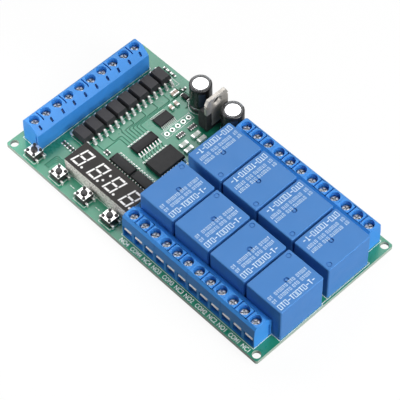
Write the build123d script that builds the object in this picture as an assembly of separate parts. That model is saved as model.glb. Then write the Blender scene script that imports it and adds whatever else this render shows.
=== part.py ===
from build123d import *
import os
from math import radians, tan

# An eight-channel relay module on one long circuit board, in millimetres, +Z up.
# X runs from the input terminals to the relay end, and Y across the board.
# The origin is the middle of the board in plan, at the tips of the soldered pins.

# Circuit board
board_length = 120.5
board_width = 62.8
board_thickness = 1.6
board_corner_bevel = 0.5
mount_hole_diameter = 3.0
mount_hole_inset = 2.0
pin_tail = 1.8
short_tail_gap = 0.3
pin_hole_clearance = 0.1
header_x = -24.7
header_first_y = 10.2
header_pitch = 2.54
header_count = 5
header_hole_diameter = 1.0
small_hole_sides = 8

# Relays, four in a front row and four in a back row
relay_width = 15.4
relay_length = 19.1
relay_height = 15.7
relay_corner_bevel = 0.6
relay_top_bevel = 0.4
relay_base_wall = 0.6
relay_base_thickness = 1.5
relay_base_gap = 0.05
relay_standoff = 0.2
relay_count_in_row = 4
relay_pitch = 16.27
front_relay_x = 3.35
front_relay_y = -11.0
back_relay_x = 2.8
back_relay_y = 10.95
relay_pin_size = (1.0, 0.6)
relay_coil_pin_x = 6.0
relay_coil_pin_y = -5.1
relay_common_pin_y = -7.1
relay_contact_pin_y = 7.1

# Screw terminal blocks, all three rows of one section
pole_pitch = 5.08
block_depth = 7.8
block_height = 10.6
block_back_height = 7.5
block_shoulder_run = 2.45
block_flat_end = 6.75
block_nose = (7.75, 9.0)
screw_axis_depth = 4.5
screw_well_diameter = 3.7
chamber_width = 3.9
chamber_back = 1.7
chamber_front = 7.2
chamber_height = 7.6
entry_height = 5.3
groove_width = 0.45
groove_length = 3.3
groove_depth = 0.8
key_slot_width = 0.5
key_slot_depth = 0.4
key_slot_from_back = 0.9
key_slot_height = 6.5
key_clearance = 0.05
shoulder_slot_width = 0.6
shoulder_slot_length = 1.6
shoulder_slot_depth = 0.5
front_row_x = -4.82
front_row_back_y = -20.65
back_row_x = 56.02
back_row_back_y = 21.75
input_row_back_x = -49.9
input_row_centre_y = 0.15
output_block_poles = 3
output_block_count = 4
input_block_poles = 2
input_block_count = 5

# What each terminal pole holds
clamp_length = 3.6
clamp_wall = 0.25
clamp_floor = 0.8
clamp_lid = 1.1
clamp_lift = 0.3
clamp_headroom = 0.2
clamp_side_gap = 0.05
clamp_pin_depth = 4.1
clamp_pin_size = (1.0, 0.8)
leaf_thickness = 0.3
leaf_gap = 0.05
leaf_back = 3.1
leaf_front_gap = 0.1
leaf_bottom = 3.6
screw_head_diameter = 3.3
screw_head_top = 8.85
terminal_round_sides = 8

# Optocouplers behind the input terminals
opto_count = 8
opto_pitch = 5.13
opto_x = -43.4
opto_last_y = 24.75
opto_length = 6.5
opto_width = 4.58
opto_height = 3.5
opto_standoff = 0.35
opto_draft = 0.45
opto_lead_pitch = 2.54
opto_lead_width = 0.75
opto_lead_thickness = 0.28
opto_lead_span = 10.2
opto_foot = 1.1

# Four-digit seven-segment display
display_length = 30.7
display_width = 10.0
display_height = 6.3
display_face_thickness = 0.3
display_x = -22.35
display_y = -19.4
digit_count = 4
digit_pitch = 7.79
digit_height = 6.7
digit_width = 3.95
digit_slant = 10.0
digit_offset = (0.6, -0.35)
segment_post_width = 0.6
segment_bar_width = 0.72
segment_gap = 0.18
segment_thickness = 0.06
point_diameter = 0.95
point_offset = (2.55, -2.95)
colon_rise = 1.45
display_pin_count = 6
display_pin_pitch = 2.54
display_pin_row = 7.62
display_pin_size = 0.5

# Push-buttons along the near edge
button_count = 4
button_pitch = 12.6
button_first_x = -49.6
button_y = -27.75
button_side = 4.5
button_base_height = 2.75
button_cover_side = 4.1
button_cover_thickness = 0.25
button_height = 3.8
plunger_diameter = 2.4
plunger_flange_diameter = 3.0
plunger_flange_thickness = 0.5
plunger_clearance = 0.1
button_well_diameter = 3.3
button_well_depth = 1.5
dome_diameter = 3.0
dome_rise = 0.35
dome_edge = 0.05
button_round_sides = 8
button_leg_width = 0.7
button_leg_thickness = 0.3
button_leg_span = 6.5
button_leg_spacing = 3.0
button_leg_height = 1.3

# Electrolytic capacitors
capacitor_places = ((-25.65, 27.25), (-9.85, 27.1))
capacitor_diameter = 8.0
capacitor_height = 11.9
capacitor_sleeve_thickness = 0.2
capacitor_top_opening = 5.8
capacitor_rim_bevel = 0.5
capacitor_sides = 16
capacitor_lead_pitch = 3.5
capacitor_lead_size = 0.6

# Voltage regulator standing on its leads
regulator_tab_face_x = -15.1
regulator_y = 25.0
regulator_width = 10.0
regulator_tab_thickness = 1.3
regulator_body_thickness = 3.1
regulator_body_height = 9.2
regulator_total_height = 15.6
regulator_bottom = 1.0
regulator_chamfer = (1.0, 2.2)
regulator_hole_diameter = 3.7
regulator_hole_from_top = 2.9
regulator_front_slope = 1.5
regulator_lead_pitch = 2.54
regulator_lead_width = 0.8
regulator_lead_thickness = 0.5
regulator_lead_depth = 2.6

# Small-outline chips
chip_standoff = 0.15
chip_draft = 0.2
chip_lead_thickness = 0.2
chip_lead_pitch = 1.27
chip_lead_width = 0.45
register_length = 9.9
register_width = 3.9
register_height = 1.6
register_lead_span = 6.0
register_side_lead_count = 8
input_register_place = (-26.85, 1.8)
digit_register_place = (-25.15, -9.55)
segment_register_place = (-14.85, -9.55)
driver_length = 11.55
driver_width = 7.5
driver_height = 2.4
driver_lead_span = 10.3
driver_side_lead_count = 9
driver_place = (-16.1, 1.4)
controller_length = 6.5
controller_width = 4.4
controller_height = 1.05
controller_lead_span = 6.4
controller_lead_pitch = 0.65
controller_lead_width = 0.25
controller_side_lead_count = 10
controller_place = (-30.05, 13.55)

# Chip resistors, resistor arrays, chip capacitors and the diode: centre and whether they lie along Y
resistor_size = (1.6, 0.8, 0.5)
resistor_places = (
    ((-46.6, -17.4), True),
    ((-45.2, -17.4), True),
    ((-43.8, -17.4), True),
    ((-42.4, -17.4), True),
    ((-41.0, -17.4), True),
    ((-33.6, -9.8), True),
    ((-32.4, -9.8), True),
    ((-45.8, 29.4), False),
    ((-43.7, 29.4), False),
    ((-41.6, 29.4), False),
    ((-34.7, 27.7), True),
)
array_size = (3.2, 1.6, 0.6)
array_places = (((-20.9, 13.1), True), ((-20.6, 18.3), True))
ceramic_size = (2.0, 1.25, 1.0)
ceramic_places = (
    ((-31.7, 18.9), False),
    ((-31.7, 21.3), False),
    ((-35.5, 23.3), False),
    ((-35.5, 24.7), False),
)
film_size = (3.2, 1.6, 1.1)
film_places = (((-17.2, 16.7), True), ((-14.5, 16.9), True), ((-17.1, 10.9), True), ((-14.4, 10.7), True))
diode_size = (2.7, 1.8, 1.2)
diode_place = (-31.8, 25.5)
diode_lead_size = (0.5, 1.0, 0.5)

# Levels and lists that follow from the sizes above
board_bottom_z = pin_tail
board_top_z = board_bottom_z + board_thickness
short_tail_z = short_tail_gap
hair = 0.02
cut_over = 1.0
register_size = (register_length, register_width, register_height, register_lead_span)
driver_size = (driver_length, driver_width, driver_height, driver_lead_span)
controller_size = (controller_length, controller_width, controller_height, controller_lead_span)


def box(size_x, size_y, low_z, high_z, x=0.0, y=0.0):
    """A block centred on x and y, between two levels."""
    shape = Box(size_x, size_y, high_z - low_z)
    return Pos(x, y, (low_z + high_z) / 2) * shape


def faceted(diameter, sides):
    """The outline of a small or repeated round, as a many-sided figure."""
    return RegularPolygon(diameter / 2, sides, rotation=180 / sides)


def faceted_post(diameter, sides, low_z, high_z, x=0.0, y=0.0):
    """A many-sided post centred on x and y, between two levels."""
    return Pos(x, y, low_z) * extrude(faceted(diameter, sides), high_z - low_z)


def turned(place, along_y):
    """The location of a piece whose long side lies along X, or along Y."""
    angle = 90 if along_y else 0
    return Pos(place[0], place[1], board_top_z) * Rot(0, 0, angle)


def relay_places():
    """The location of each relay; the back row is turned half round."""
    places = []
    for index in range(relay_count_in_row):
        x = front_relay_x + index * relay_pitch
        places.append(Pos(x, front_relay_y, board_top_z))
    for index in range(relay_count_in_row):
        x = back_relay_x + index * relay_pitch
        places.append(Pos(x, back_relay_y, board_top_z) * Rot(0, 0, 180))
    return places


def relay_pin_places():
    """The five pins of one relay: the coil, the common contact and the two fixed contacts."""
    return (
        (-relay_coil_pin_x, relay_coil_pin_y),
        (relay_coil_pin_x, relay_coil_pin_y),
        (0.0, relay_common_pin_y),
        (-relay_coil_pin_x, relay_contact_pin_y),
        (relay_coil_pin_x, relay_contact_pin_y),
    )


def block_places():
    """Each terminal block's node name, number of poles and location: its back corner, first pole side."""
    places = []
    output_length = output_block_poles * pole_pitch
    input_length = input_block_poles * pole_pitch
    input_start_y = input_row_centre_y + input_block_count * input_length / 2
    for index in range(input_block_count):
        y = input_start_y - index * input_length
        location = Pos(input_row_back_x, y, board_top_z) * Rot(0, 0, -90)
        places.append((f"input_terminal_{index + 1}", input_block_poles, location))
    for index in range(output_block_count):
        x = front_row_x + index * output_length
        location = Pos(x, front_row_back_y, board_top_z)
        places.append((f"front_terminal_{index + 1}", output_block_poles, location))
    for index in range(output_block_count):
        x = back_row_x - index * output_length
        location = Pos(x, back_row_back_y, board_top_z) * Rot(0, 0, 180)
        places.append((f"back_terminal_{index + 1}", output_block_poles, location))
    return places


def pole_places():
    """The location of each of the terminal poles, at the back face, on the pole's middle line."""
    places = []
    for name, poles, location in block_places():
        for pole in range(poles):
            places.append(location * Pos((pole + 0.5) * pole_pitch, 0, 0))
    return places


def display_pin_places():
    """The display's two rows of pins."""
    places = []
    middle = (display_pin_count - 1) / 2
    for row in (-0.5, 0.5):
        for index in range(display_pin_count):
            x = display_x + (index - middle) * display_pin_pitch
            places.append((x, display_y + row * display_pin_row))
    return places


def button_places():
    """The middle of each push-button."""
    return [(button_first_x + index * button_pitch, button_y) for index in range(button_count)]


def button_leg_places():
    """Where each push-button's four legs enter the board."""
    places = []
    for x, y in button_places():
        for side in (-0.5, 0.5):
            for end in (-0.5, 0.5):
                places.append((x + side * button_leg_span, y + end * button_leg_spacing))
    return places


def capacitor_lead_places():
    """The two leads of each capacitor, across the board."""
    places = []
    for x, y in capacitor_places:
        for side in (-0.5, 0.5):
            places.append((x, y + side * capacitor_lead_pitch))
    return places


def regulator_lead_places():
    """The three leads of the regulator, in a line across the board."""
    x = regulator_tab_face_x - regulator_lead_depth
    return [(x, regulator_y + step * regulator_lead_pitch) for step in (-1, 0, 1)]


def mount_hole_places():
    """The four corner holes."""
    x = board_length / 2 - mount_hole_inset
    y = board_width / 2 - mount_hole_inset
    return [(-x, -y), (-x, y), (x, -y), (x, y)]


def header_places():
    """The row of open plated holes for a pin header."""
    return [(header_x, header_first_y + index * header_pitch) for index in range(header_count)]


def circuit_board():
    """The board with its corner holes, its open header holes and a hole for every soldered pin."""
    outline = Rectangle(board_length, board_width)
    outline = chamfer(outline.vertices(), board_corner_bevel)
    margin = 2 * pin_hole_clearance
    holes = []
    for x, y in mount_hole_places():
        holes.append(Pos(x, y) * Circle(mount_hole_diameter / 2))
    for x, y in header_places():
        holes.append(Pos(x, y) * faceted(header_hole_diameter, small_hole_sides))
    relay_hole = Rectangle(relay_pin_size[0] + margin, relay_pin_size[1] + margin)
    for relay in relay_places():
        for x, y in relay_pin_places():
            spot = (relay * Pos(x, y, 0)).position
            holes.append(Pos(spot.X, spot.Y) * relay_hole)
    for pole in pole_places():
        spot = pole * Pos(0, -clamp_pin_depth, 0)
        hole = Rectangle(clamp_pin_size[0] + margin, clamp_pin_size[1] + margin)
        turn = spot.orientation.Z
        holes.append(Pos(spot.position.X, spot.position.Y) * Rot(0, 0, turn) * hole)
    for x, y in display_pin_places():
        holes.append(Pos(x, y) * Rectangle(display_pin_size + margin, display_pin_size + margin))
    for x, y in button_leg_places():
        holes.append(Pos(x, y) * Rectangle(button_leg_thickness + margin, button_leg_width + margin))
    for x, y in capacitor_lead_places():
        holes.append(Pos(x, y) * Rectangle(capacitor_lead_size + margin, capacitor_lead_size + margin))
    for x, y in regulator_lead_places():
        holes.append(Pos(x, y) * Rectangle(regulator_lead_thickness + margin, regulator_lead_width + margin))
    face = outline - holes
    return Pos(0, 0, board_bottom_z) * extrude(face, board_thickness)


def relay_case():
    """One relay's moulded case, with the recess that its base closes."""
    case = box(relay_width, relay_length, 0, relay_height)
    case = chamfer(case.edges().filter_by(Axis.Z), relay_corner_bevel)
    case = chamfer(case.faces().sort_by(Axis.Z)[-1].edges(), relay_top_bevel)
    recess_x = relay_width - 2 * relay_base_wall
    recess_y = relay_length - 2 * relay_base_wall
    return case - box(recess_x, recess_y, 0, relay_standoff + relay_base_thickness)


def relay_base():
    """The plate that closes one relay and carries its pins."""
    gap = 2 * (relay_base_wall + relay_base_gap)
    low = relay_standoff
    return box(relay_width - gap, relay_length - gap, low, low + relay_base_thickness)


def relay_pins():
    """The five pins of one relay, from its base down through the board."""
    size_x, size_y = relay_pin_size
    low = -board_top_z
    return [box(size_x, size_y, low, relay_standoff, x, y) for x, y in relay_pin_places()]


def terminal_section():
    """The side outline of a terminal block: its sloping back shoulder and blunt front edge."""
    points = (
        (0, 0),
        (0, block_back_height),
        (-block_shoulder_run, block_height),
        (-block_flat_end, block_height),
        (-block_nose[0], block_nose[1]),
        (-block_depth, entry_height),
        (-block_depth, 0),
    )
    return Plane.YZ * make_face(Polyline(*points, close=True))


def pole_chamber():
    """The hollow of one pole, open to the board below and to the wire in front."""
    past_front = block_depth + cut_over
    points = (
        (-chamber_back, -hair),
        (-chamber_back, chamber_height),
        (-chamber_front, chamber_height),
        (-chamber_front, entry_height),
        (-past_front, entry_height),
        (-past_front, -hair),
    )
    face = Plane.YZ * make_face(Polyline(*points, close=True))
    return extrude(face, chamber_width / 2, both=True)


def shoulder_slot():
    """The small slot moulded in the sloping shoulder above an input pole."""
    slope = Plane(
        origin=(0, -block_shoulder_run / 2, (block_back_height + block_height) / 2),
        x_dir=(0, -block_shoulder_run, block_height - block_back_height),
        z_dir=(0, block_height - block_back_height, block_shoulder_run),
    )
    face = slope * Rectangle(shoulder_slot_length, shoulder_slot_width)
    return extrude(face, shoulder_slot_depth, both=True)


def terminal_block(poles, slotted):
    """One moulded terminal block, its back face on y = 0 and its first side on x = 0.

    A rib on the first side fits in the groove that the next block has on its last side.
    """
    length = poles * pole_pitch
    block = extrude(terminal_section(), length)
    cuts = []
    for pole in range(poles):
        middle = (pole + 0.5) * pole_pitch
        cuts.append(Pos(middle, 0, 0) * pole_chamber())
        low = chamber_height - hair
        high = block_height + cut_over
        well = faceted_post(screw_well_diameter, terminal_round_sides, low, high, middle, -screw_axis_depth)
        cuts.append(well)
        if slotted:
            cuts.append(Pos(middle, 0, 0) * shoulder_slot())
    for joint in range(1, poles):
        x = joint * pole_pitch
        low = block_height - groove_depth
        cuts.append(box(groove_width, groove_length, low, block_height + cut_over, x, -screw_axis_depth))
    key_y = -key_slot_from_back - key_slot_width / 2
    cuts.append(box(2 * key_slot_depth, key_slot_width, -hair, key_slot_height, length, key_y))
    block = block - cuts
    rib_reach = key_slot_depth - key_clearance
    rib_width = key_slot_width - 2 * key_clearance
    rib_height = key_slot_height - key_clearance
    return block + box(2 * rib_reach, rib_width, 0, rib_height, 0, key_y)


def clamp_top():
    """The level of a clamp frame's top face, just below the chamber's roof."""
    return chamber_height - clamp_headroom


def clamp_width():
    """How wide a clamp frame is, between the chamber's side walls."""
    return chamber_width - 2 * clamp_side_gap


def terminal_clamp():
    """One pole's clamp: a frame round the wire, and the pin below it that is soldered in the board."""
    top = clamp_top()
    opening = clamp_width() - 2 * clamp_wall
    frame = box(clamp_width(), clamp_length, clamp_lift, top, 0, -screw_axis_depth)
    through = clamp_length + cut_over
    frame -= box(opening, through, clamp_lift + clamp_floor, top - clamp_lid, 0, -screw_axis_depth)
    pin_low = short_tail_z - board_top_z
    return frame + box(*clamp_pin_size, pin_low, clamp_lift, 0, -clamp_pin_depth)


def terminal_leaf():
    """One pole's wire guard: a strip under the screw, folded down across the top of the wire entry."""
    top = clamp_top() - clamp_lid - leaf_gap
    front = chamber_front - leaf_front_gap
    points = (
        (-leaf_back, top - leaf_thickness),
        (-leaf_back, top),
        (-front, top),
        (-front, leaf_bottom),
        (-front + leaf_thickness, leaf_bottom),
        (-front + leaf_thickness, top - leaf_thickness),
    )
    face = Plane.YZ * make_face(Polyline(*points, close=True))
    width = clamp_width() - 2 * clamp_wall - 2 * leaf_gap
    return extrude(face, width / 2, both=True)


def terminal_screw():
    """One clamping screw's head, standing on the clamp frame in its well."""
    low = clamp_top()
    return faceted_post(screw_head_diameter, terminal_round_sides, low, screw_head_top, 0, -screw_axis_depth)


def drafted_section(plane, span, height, draft, depth):
    """A bar along one axis whose ends narrow above and below its middle line."""
    half = span / 2
    points = (
        (-half + draft, 0),
        (-half, height / 2),
        (-half + draft, height),
        (half - draft, height),
        (half, height / 2),
        (half - draft, 0),
    )
    return extrude(plane * make_face(Polyline(*points, close=True)), depth / 2, both=True)


def drafted_body(length, width, height, draft):
    """A moulded chip body that narrows above and below its middle line, on all four sides."""
    along = drafted_section(Plane.XZ, length, height, draft, width)
    across = drafted_section(Plane.YZ, width, height, draft, length)
    return along & across


def gull_lead(body_side, reach, foot, rise, thickness, width, x):
    """A lead that leaves a body's side, bends down and ends in a flat foot; it points along +Y."""
    knee = reach - foot
    points = (
        (body_side, rise),
        (body_side, rise + thickness),
        (knee, rise + thickness),
        (reach, thickness),
        (reach, 0),
        (knee, 0),
    )
    face = Plane.YZ * make_face(Polyline(*points, close=True))
    return Pos(x, 0, 0) * extrude(face, width / 2, both=True)


def opto_places():
    """The location of each optocoupler, the first nearest the display."""
    first_y = opto_last_y - (opto_count - 1) * opto_pitch
    return [Pos(opto_x, first_y + index * opto_pitch, board_top_z) for index in range(opto_count)]


def optocoupler():
    """One optocoupler's moulded body."""
    body = drafted_body(opto_length, opto_width, opto_height, opto_draft)
    return Pos(0, 0, opto_standoff) * body


def optocoupler_leads():
    """The four bent leads of one optocoupler."""
    leads = []
    rise = opto_standoff + opto_height / 2 - opto_lead_thickness / 2
    for side in (90, -90):
        for step in (-0.5, 0.5):
            lead = gull_lead(
                opto_length / 2,
                opto_lead_span / 2,
                opto_foot,
                rise,
                opto_lead_thickness,
                opto_lead_width,
                step * opto_lead_pitch,
            )
            leads.append(Rot(0, 0, side) * lead)
    return leads


def chip_body(size, place, along_y):
    """One small-outline chip's body."""
    length, width, height, span = size
    body = drafted_body(length, width, height - chip_standoff, chip_draft)
    return turned(place, along_y) * Pos(0, 0, chip_standoff) * body


def chip_leads(size, place, along_y, leads_a_side, pitch=chip_lead_pitch, lead_width=chip_lead_width):
    """All the leads of one small-outline chip, as short bent strips."""
    length, width, height, span = size
    leads = []
    middle = (leads_a_side - 1) / 2
    rise = (height + chip_standoff) / 2 - chip_lead_thickness / 2
    points = (
        (width / 2, rise),
        (width / 2, rise + chip_lead_thickness),
        (span / 2, chip_lead_thickness),
        (span / 2, 0),
    )
    face = Plane.YZ * make_face(Polyline(*points, close=True))
    strip = extrude(face, lead_width / 2, both=True)
    for side in (0, 180):
        for index in range(leads_a_side):
            location = turned(place, along_y) * Rot(0, 0, side) * Pos((index - middle) * pitch, 0, 0)
            leads.append(location * strip)
    return leads


def all_chip_leads():
    """The leads of every chip, and of the diode."""
    leads = chip_leads(register_size, input_register_place, True, register_side_lead_count)
    leads += chip_leads(register_size, digit_register_place, False, register_side_lead_count)
    leads += chip_leads(register_size, segment_register_place, False, register_side_lead_count)
    leads += chip_leads(driver_size, driver_place, True, driver_side_lead_count)
    leads += chip_leads(
        controller_size,
        controller_place,
        True,
        controller_side_lead_count,
        controller_lead_pitch,
        controller_lead_width,
    )
    return leads + diode_leads()


def display_housing():
    """The display's pale moulded body, under its dark face."""
    top = board_top_z + display_height - display_face_thickness
    return box(display_length, display_width, board_top_z, top, display_x, display_y)


def display_face():
    """The dark face plate of the display."""
    top = board_top_z + display_height
    return box(display_length, display_width, top - display_face_thickness, top, display_x, display_y)


def segment_outlines():
    """One upright digit's seven segments as flat outlines: full-height posts, with bars between them."""
    bar_y = (digit_height - segment_bar_width) / 2
    bar_length = digit_width - 2 * segment_post_width - 2 * segment_gap
    bars = [Pos(0, y) * Rectangle(bar_length, segment_bar_width) for y in (-bar_y, 0, bar_y)]
    post_length = (digit_height - segment_gap) / 2
    post_x = (digit_width - segment_post_width) / 2
    post_y = (digit_height - post_length) / 2
    posts = []
    for x in (-post_x, post_x):
        for y in (-post_y, post_y):
            posts.append(Pos(x, y) * Rectangle(segment_post_width, post_length))
    return bars + posts


def slanted(outline):
    """An outline of straight edges leant over by the digits' slant."""
    lean = tan(radians(digit_slant))
    points = [(v.X + lean * v.Y, v.Y) for v in outline.vertices().sort_by(Axis.X)]
    left = sorted(points[:2], key=lambda point: point[1])
    right = sorted(points[2:], key=lambda point: -point[1])
    return make_face(Polyline(*left, *right, close=True))


def display_segments():
    """The lit shapes of the display: four digits, their points and the colon."""
    base = board_top_z + display_height
    shapes = []
    lean = tan(radians(digit_slant))
    for index in range(digit_count):
        x = display_x + digit_offset[0] + (index - (digit_count - 1) / 2) * digit_pitch
        y = display_y + digit_offset[1]
        for outline in segment_outlines():
            shapes.append(Pos(x, y, base) * extrude(slanted(outline), segment_thickness))
        point = (x + point_offset[0], y + point_offset[1])
        top = base + segment_thickness
        shapes.append(faceted_post(point_diameter, small_hole_sides, base, top, *point))
    for rise in (-colon_rise, colon_rise):
        x = display_x + digit_offset[0] + lean * rise
        y = display_y + digit_offset[1] + rise
        shapes.append(faceted_post(point_diameter, small_hole_sides, base, base + segment_thickness, x, y))
    return shapes


def display_pins():
    """The display's pins, from its underside down through the board."""
    return [box(display_pin_size, display_pin_size, 0, board_top_z, x, y) for x, y in display_pin_places()]


def button_base():
    """One push-button's black base, with a well for the plunger and its snap dome."""
    base = box(button_side, button_side, 0, button_base_height)
    floor = button_base_height - button_well_depth
    return base - faceted_post(button_well_diameter, button_round_sides, floor, button_base_height + cut_over)


def button_cover():
    """One push-button's bright cover plate, with the hole that the plunger comes up through."""
    low = button_base_height
    cover = box(button_cover_side, button_cover_side, low, low + button_cover_thickness)
    hole = plunger_diameter + 2 * plunger_clearance
    return cover - faceted_post(hole, button_round_sides, low - cut_over, low + cut_over)


def button_plunger():
    """One push-button's plunger, with the flange that the cover holds in."""
    flange_top = button_base_height - hair
    flange_low = flange_top - plunger_flange_thickness
    plunger = faceted_post(plunger_diameter, button_round_sides, flange_low, button_height)
    return plunger + faceted_post(plunger_flange_diameter, button_round_sides, flange_low, flange_top)


def button_dome():
    """One push-button's snap dome, a shallow cap on the floor of the well."""
    floor = button_base_height - button_well_depth
    dome = faceted_post(dome_diameter, button_round_sides, floor, floor + dome_rise)
    return chamfer(dome.faces().sort_by(Axis.Z)[-1].edges(), dome_rise - dome_edge)


def button_legs():
    """The four legs of one push-button, out of its sides and down through the board."""
    legs = []
    for side in (0, 180):
        for end in (-0.5, 0.5):
            inner = button_side / 2
            outer = (button_leg_span + button_leg_thickness) / 2
            points = (
                (inner, button_leg_height),
                (outer, button_leg_height),
                (outer, -board_top_z),
                (outer - button_leg_thickness, -board_top_z),
                (outer - button_leg_thickness, button_leg_height - button_leg_thickness),
                (inner, button_leg_height - button_leg_thickness),
            )
            face = Plane.XZ * make_face(Polyline(*points, close=True))
            leg = Pos(0, end * button_leg_spacing, 0) * extrude(face, button_leg_width / 2, both=True)
            legs.append(Rot(0, 0, side) * leg)
    return legs


def capacitor_can():
    """One capacitor's aluminium can, with its upper rim turned in."""
    diameter = capacitor_diameter - 2 * capacitor_sleeve_thickness
    can = faceted_post(diameter, capacitor_sides, 0, capacitor_height - capacitor_sleeve_thickness)
    return chamfer(can.faces().sort_by(Axis.Z)[-1].edges(), capacitor_rim_bevel)


def capacitor_sleeve():
    """One capacitor's shrunk sleeve, which folds in over the can's rim."""
    sleeve = faceted_post(capacitor_diameter, capacitor_sides, 0, capacitor_height)
    sleeve = chamfer(sleeve.faces().sort_by(Axis.Z)[-1].edges(), capacitor_rim_bevel)
    sleeve -= capacitor_can()
    return sleeve - faceted_post(capacitor_top_opening, capacitor_sides, 0, capacitor_height + cut_over)


def regulator_tab():
    """The regulator's metal tab, with its fixing hole and cut upper corners."""
    low = regulator_bottom
    high = low + regulator_total_height
    half = regulator_width / 2
    cut_y, cut_z = regulator_chamfer
    points = (
        (-half, low),
        (-half, high - cut_z),
        (-half + cut_y, high),
        (half - cut_y, high),
        (half, high - cut_z),
        (half, low),
    )
    face = Plane.YZ * make_face(Polyline(*points, close=True))
    tab = extrude(face, -regulator_tab_thickness)
    hole = Rot(0, 90, 0) * Cylinder(regulator_hole_diameter / 2, 4 * regulator_tab_thickness)
    tab -= Pos(0, 0, high - regulator_hole_from_top) * hole
    return Pos(regulator_tab_face_x, regulator_y, board_top_z) * tab


def regulator_body():
    """The regulator's moulded body, against the tab, with its sloping upper edge."""
    low = regulator_bottom
    high = low + regulator_body_height
    near = -regulator_tab_thickness
    far = near - regulator_body_thickness
    points = (
        (near, low),
        (near, high),
        (far + regulator_front_slope, high),
        (far, high - regulator_front_slope),
        (far, low),
    )
    face = Plane.XZ * make_face(Polyline(*points, close=True))
    body = extrude(face, regulator_width / 2, both=True)
    return Pos(regulator_tab_face_x, regulator_y, board_top_z) * body


def power_leads():
    """The regulator's three flat leads and the capacitors' leads, down through the board."""
    top = board_top_z + regulator_bottom
    size = (regulator_lead_thickness, regulator_lead_width)
    leads = [box(size[0], size[1], 0, top, x, y) for x, y in regulator_lead_places()]
    size = (capacitor_lead_size, capacitor_lead_size)
    leads += [box(size[0], size[1], 0, board_top_z, x, y) for x, y in capacitor_lead_places()]
    return leads


def chip_parts(size, places):
    """Small parts of one size, each a block on the board."""
    return [turned(place, along_y) * box(size[0], size[1], 0, size[2]) for place, along_y in places]


def diode():
    """The protection diode's body."""
    length, width, height = diode_size
    body = drafted_body(length, width, height - chip_standoff, chip_draft)
    return Pos(diode_place[0], diode_place[1], board_top_z) * Pos(0, 0, chip_standoff) * body


def diode_leads():
    """The diode's two folded end leads."""
    length, width, height = diode_lead_size
    reach = (diode_size[0] + length) / 2
    places = [(diode_place[0] + side * reach, diode_place[1]) for side in (-1, 1)]
    return [box(length, width, board_top_z, board_top_z + height, x, y) for x, y in places]


def build_nodes():
    """Every node of the module by name: one solid, or a list of like solids."""
    nodes = {"circuit_board": circuit_board()}
    relays = relay_places()
    case = relay_case()
    for index, place in enumerate(relays):
        nodes[f"relay_case_{index + 1}"] = place * case
    nodes["relay_bases"] = [place * relay_base() for place in relays]
    nodes["relay_pins"] = [place * pin for place in relays for pin in relay_pins()]
    blocks = {
        output_block_poles: terminal_block(output_block_poles, slotted=False),
        input_block_poles: terminal_block(input_block_poles, slotted=True),
    }
    for name, poles, place in block_places():
        nodes[name] = place * blocks[poles]
    poles = pole_places()
    nodes["terminal_screws"] = [place * terminal_screw() for place in poles]
    nodes["terminal_clamps"] = [place * terminal_clamp() for place in poles]
    nodes["terminal_leaves"] = [place * terminal_leaf() for place in poles]
    optos = opto_places()
    for index, place in enumerate(optos):
        nodes[f"optocoupler_{index + 1}"] = place * optocoupler()
    nodes["optocoupler_leads"] = [place * lead for place in optos for lead in optocoupler_leads()]
    nodes["display_housing"] = display_housing()
    nodes["display_face"] = display_face()
    nodes["display_segments"] = display_segments()
    nodes["display_pins"] = display_pins()
    buttons = [Pos(x, y, board_top_z) for x, y in button_places()]
    for index, place in enumerate(buttons):
        nodes[f"button_plunger_{index + 1}"] = place * button_plunger()
    nodes["button_bases"] = [place * button_base() for place in buttons]
    nodes["button_covers"] = [place * button_cover() for place in buttons]
    nodes["button_domes"] = [place * button_dome() for place in buttons]
    nodes["button_legs"] = [place * leg for place in buttons for leg in button_legs()]
    cans = [Pos(x, y, board_top_z) for x, y in capacitor_places]
    nodes["capacitor_cans"] = [place * capacitor_can() for place in cans]
    nodes["capacitor_sleeves"] = [place * capacitor_sleeve() for place in cans]
    nodes["regulator_tab"] = regulator_tab()
    nodes["regulator_body"] = regulator_body()
    nodes["power_leads"] = power_leads()
    nodes["microcontroller"] = chip_body(controller_size, controller_place, True)
    nodes["relay_driver"] = chip_body(driver_size, driver_place, True)
    nodes["shift_registers"] = [
        chip_body(register_size, input_register_place, True),
        chip_body(register_size, digit_register_place, False),
        chip_body(register_size, segment_register_place, False),
    ]
    nodes["chip_leads"] = all_chip_leads()
    resistors = chip_parts(resistor_size, resistor_places)
    nodes["chip_resistors"] = resistors + chip_parts(array_size, array_places)
    nodes["chip_capacitors"] = chip_parts(ceramic_size, ceramic_places) + chip_parts(film_size, film_places)
    nodes["protection_diode"] = diode()
    return nodes


def write_nodes(nodes):
    """Write one STEP file for each node."""
    os.makedirs("parts", exist_ok=True)
    for name, shape in nodes.items():
        if isinstance(shape, list):
            solids = [solid for piece in shape for solid in piece.solids()]
        else:
            solids = shape.solids()
        body = solids[0] if len(solids) == 1 else Compound(children=solids)
        body.label = name
        export_step(body, os.path.join("parts", f"{name}.step"))


write_nodes(build_nodes())
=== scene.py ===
import math

import bmesh
import bpy
from bpy.props import FloatProperty, FloatVectorProperty, PointerProperty
from mathutils import Matrix, Vector


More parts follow.
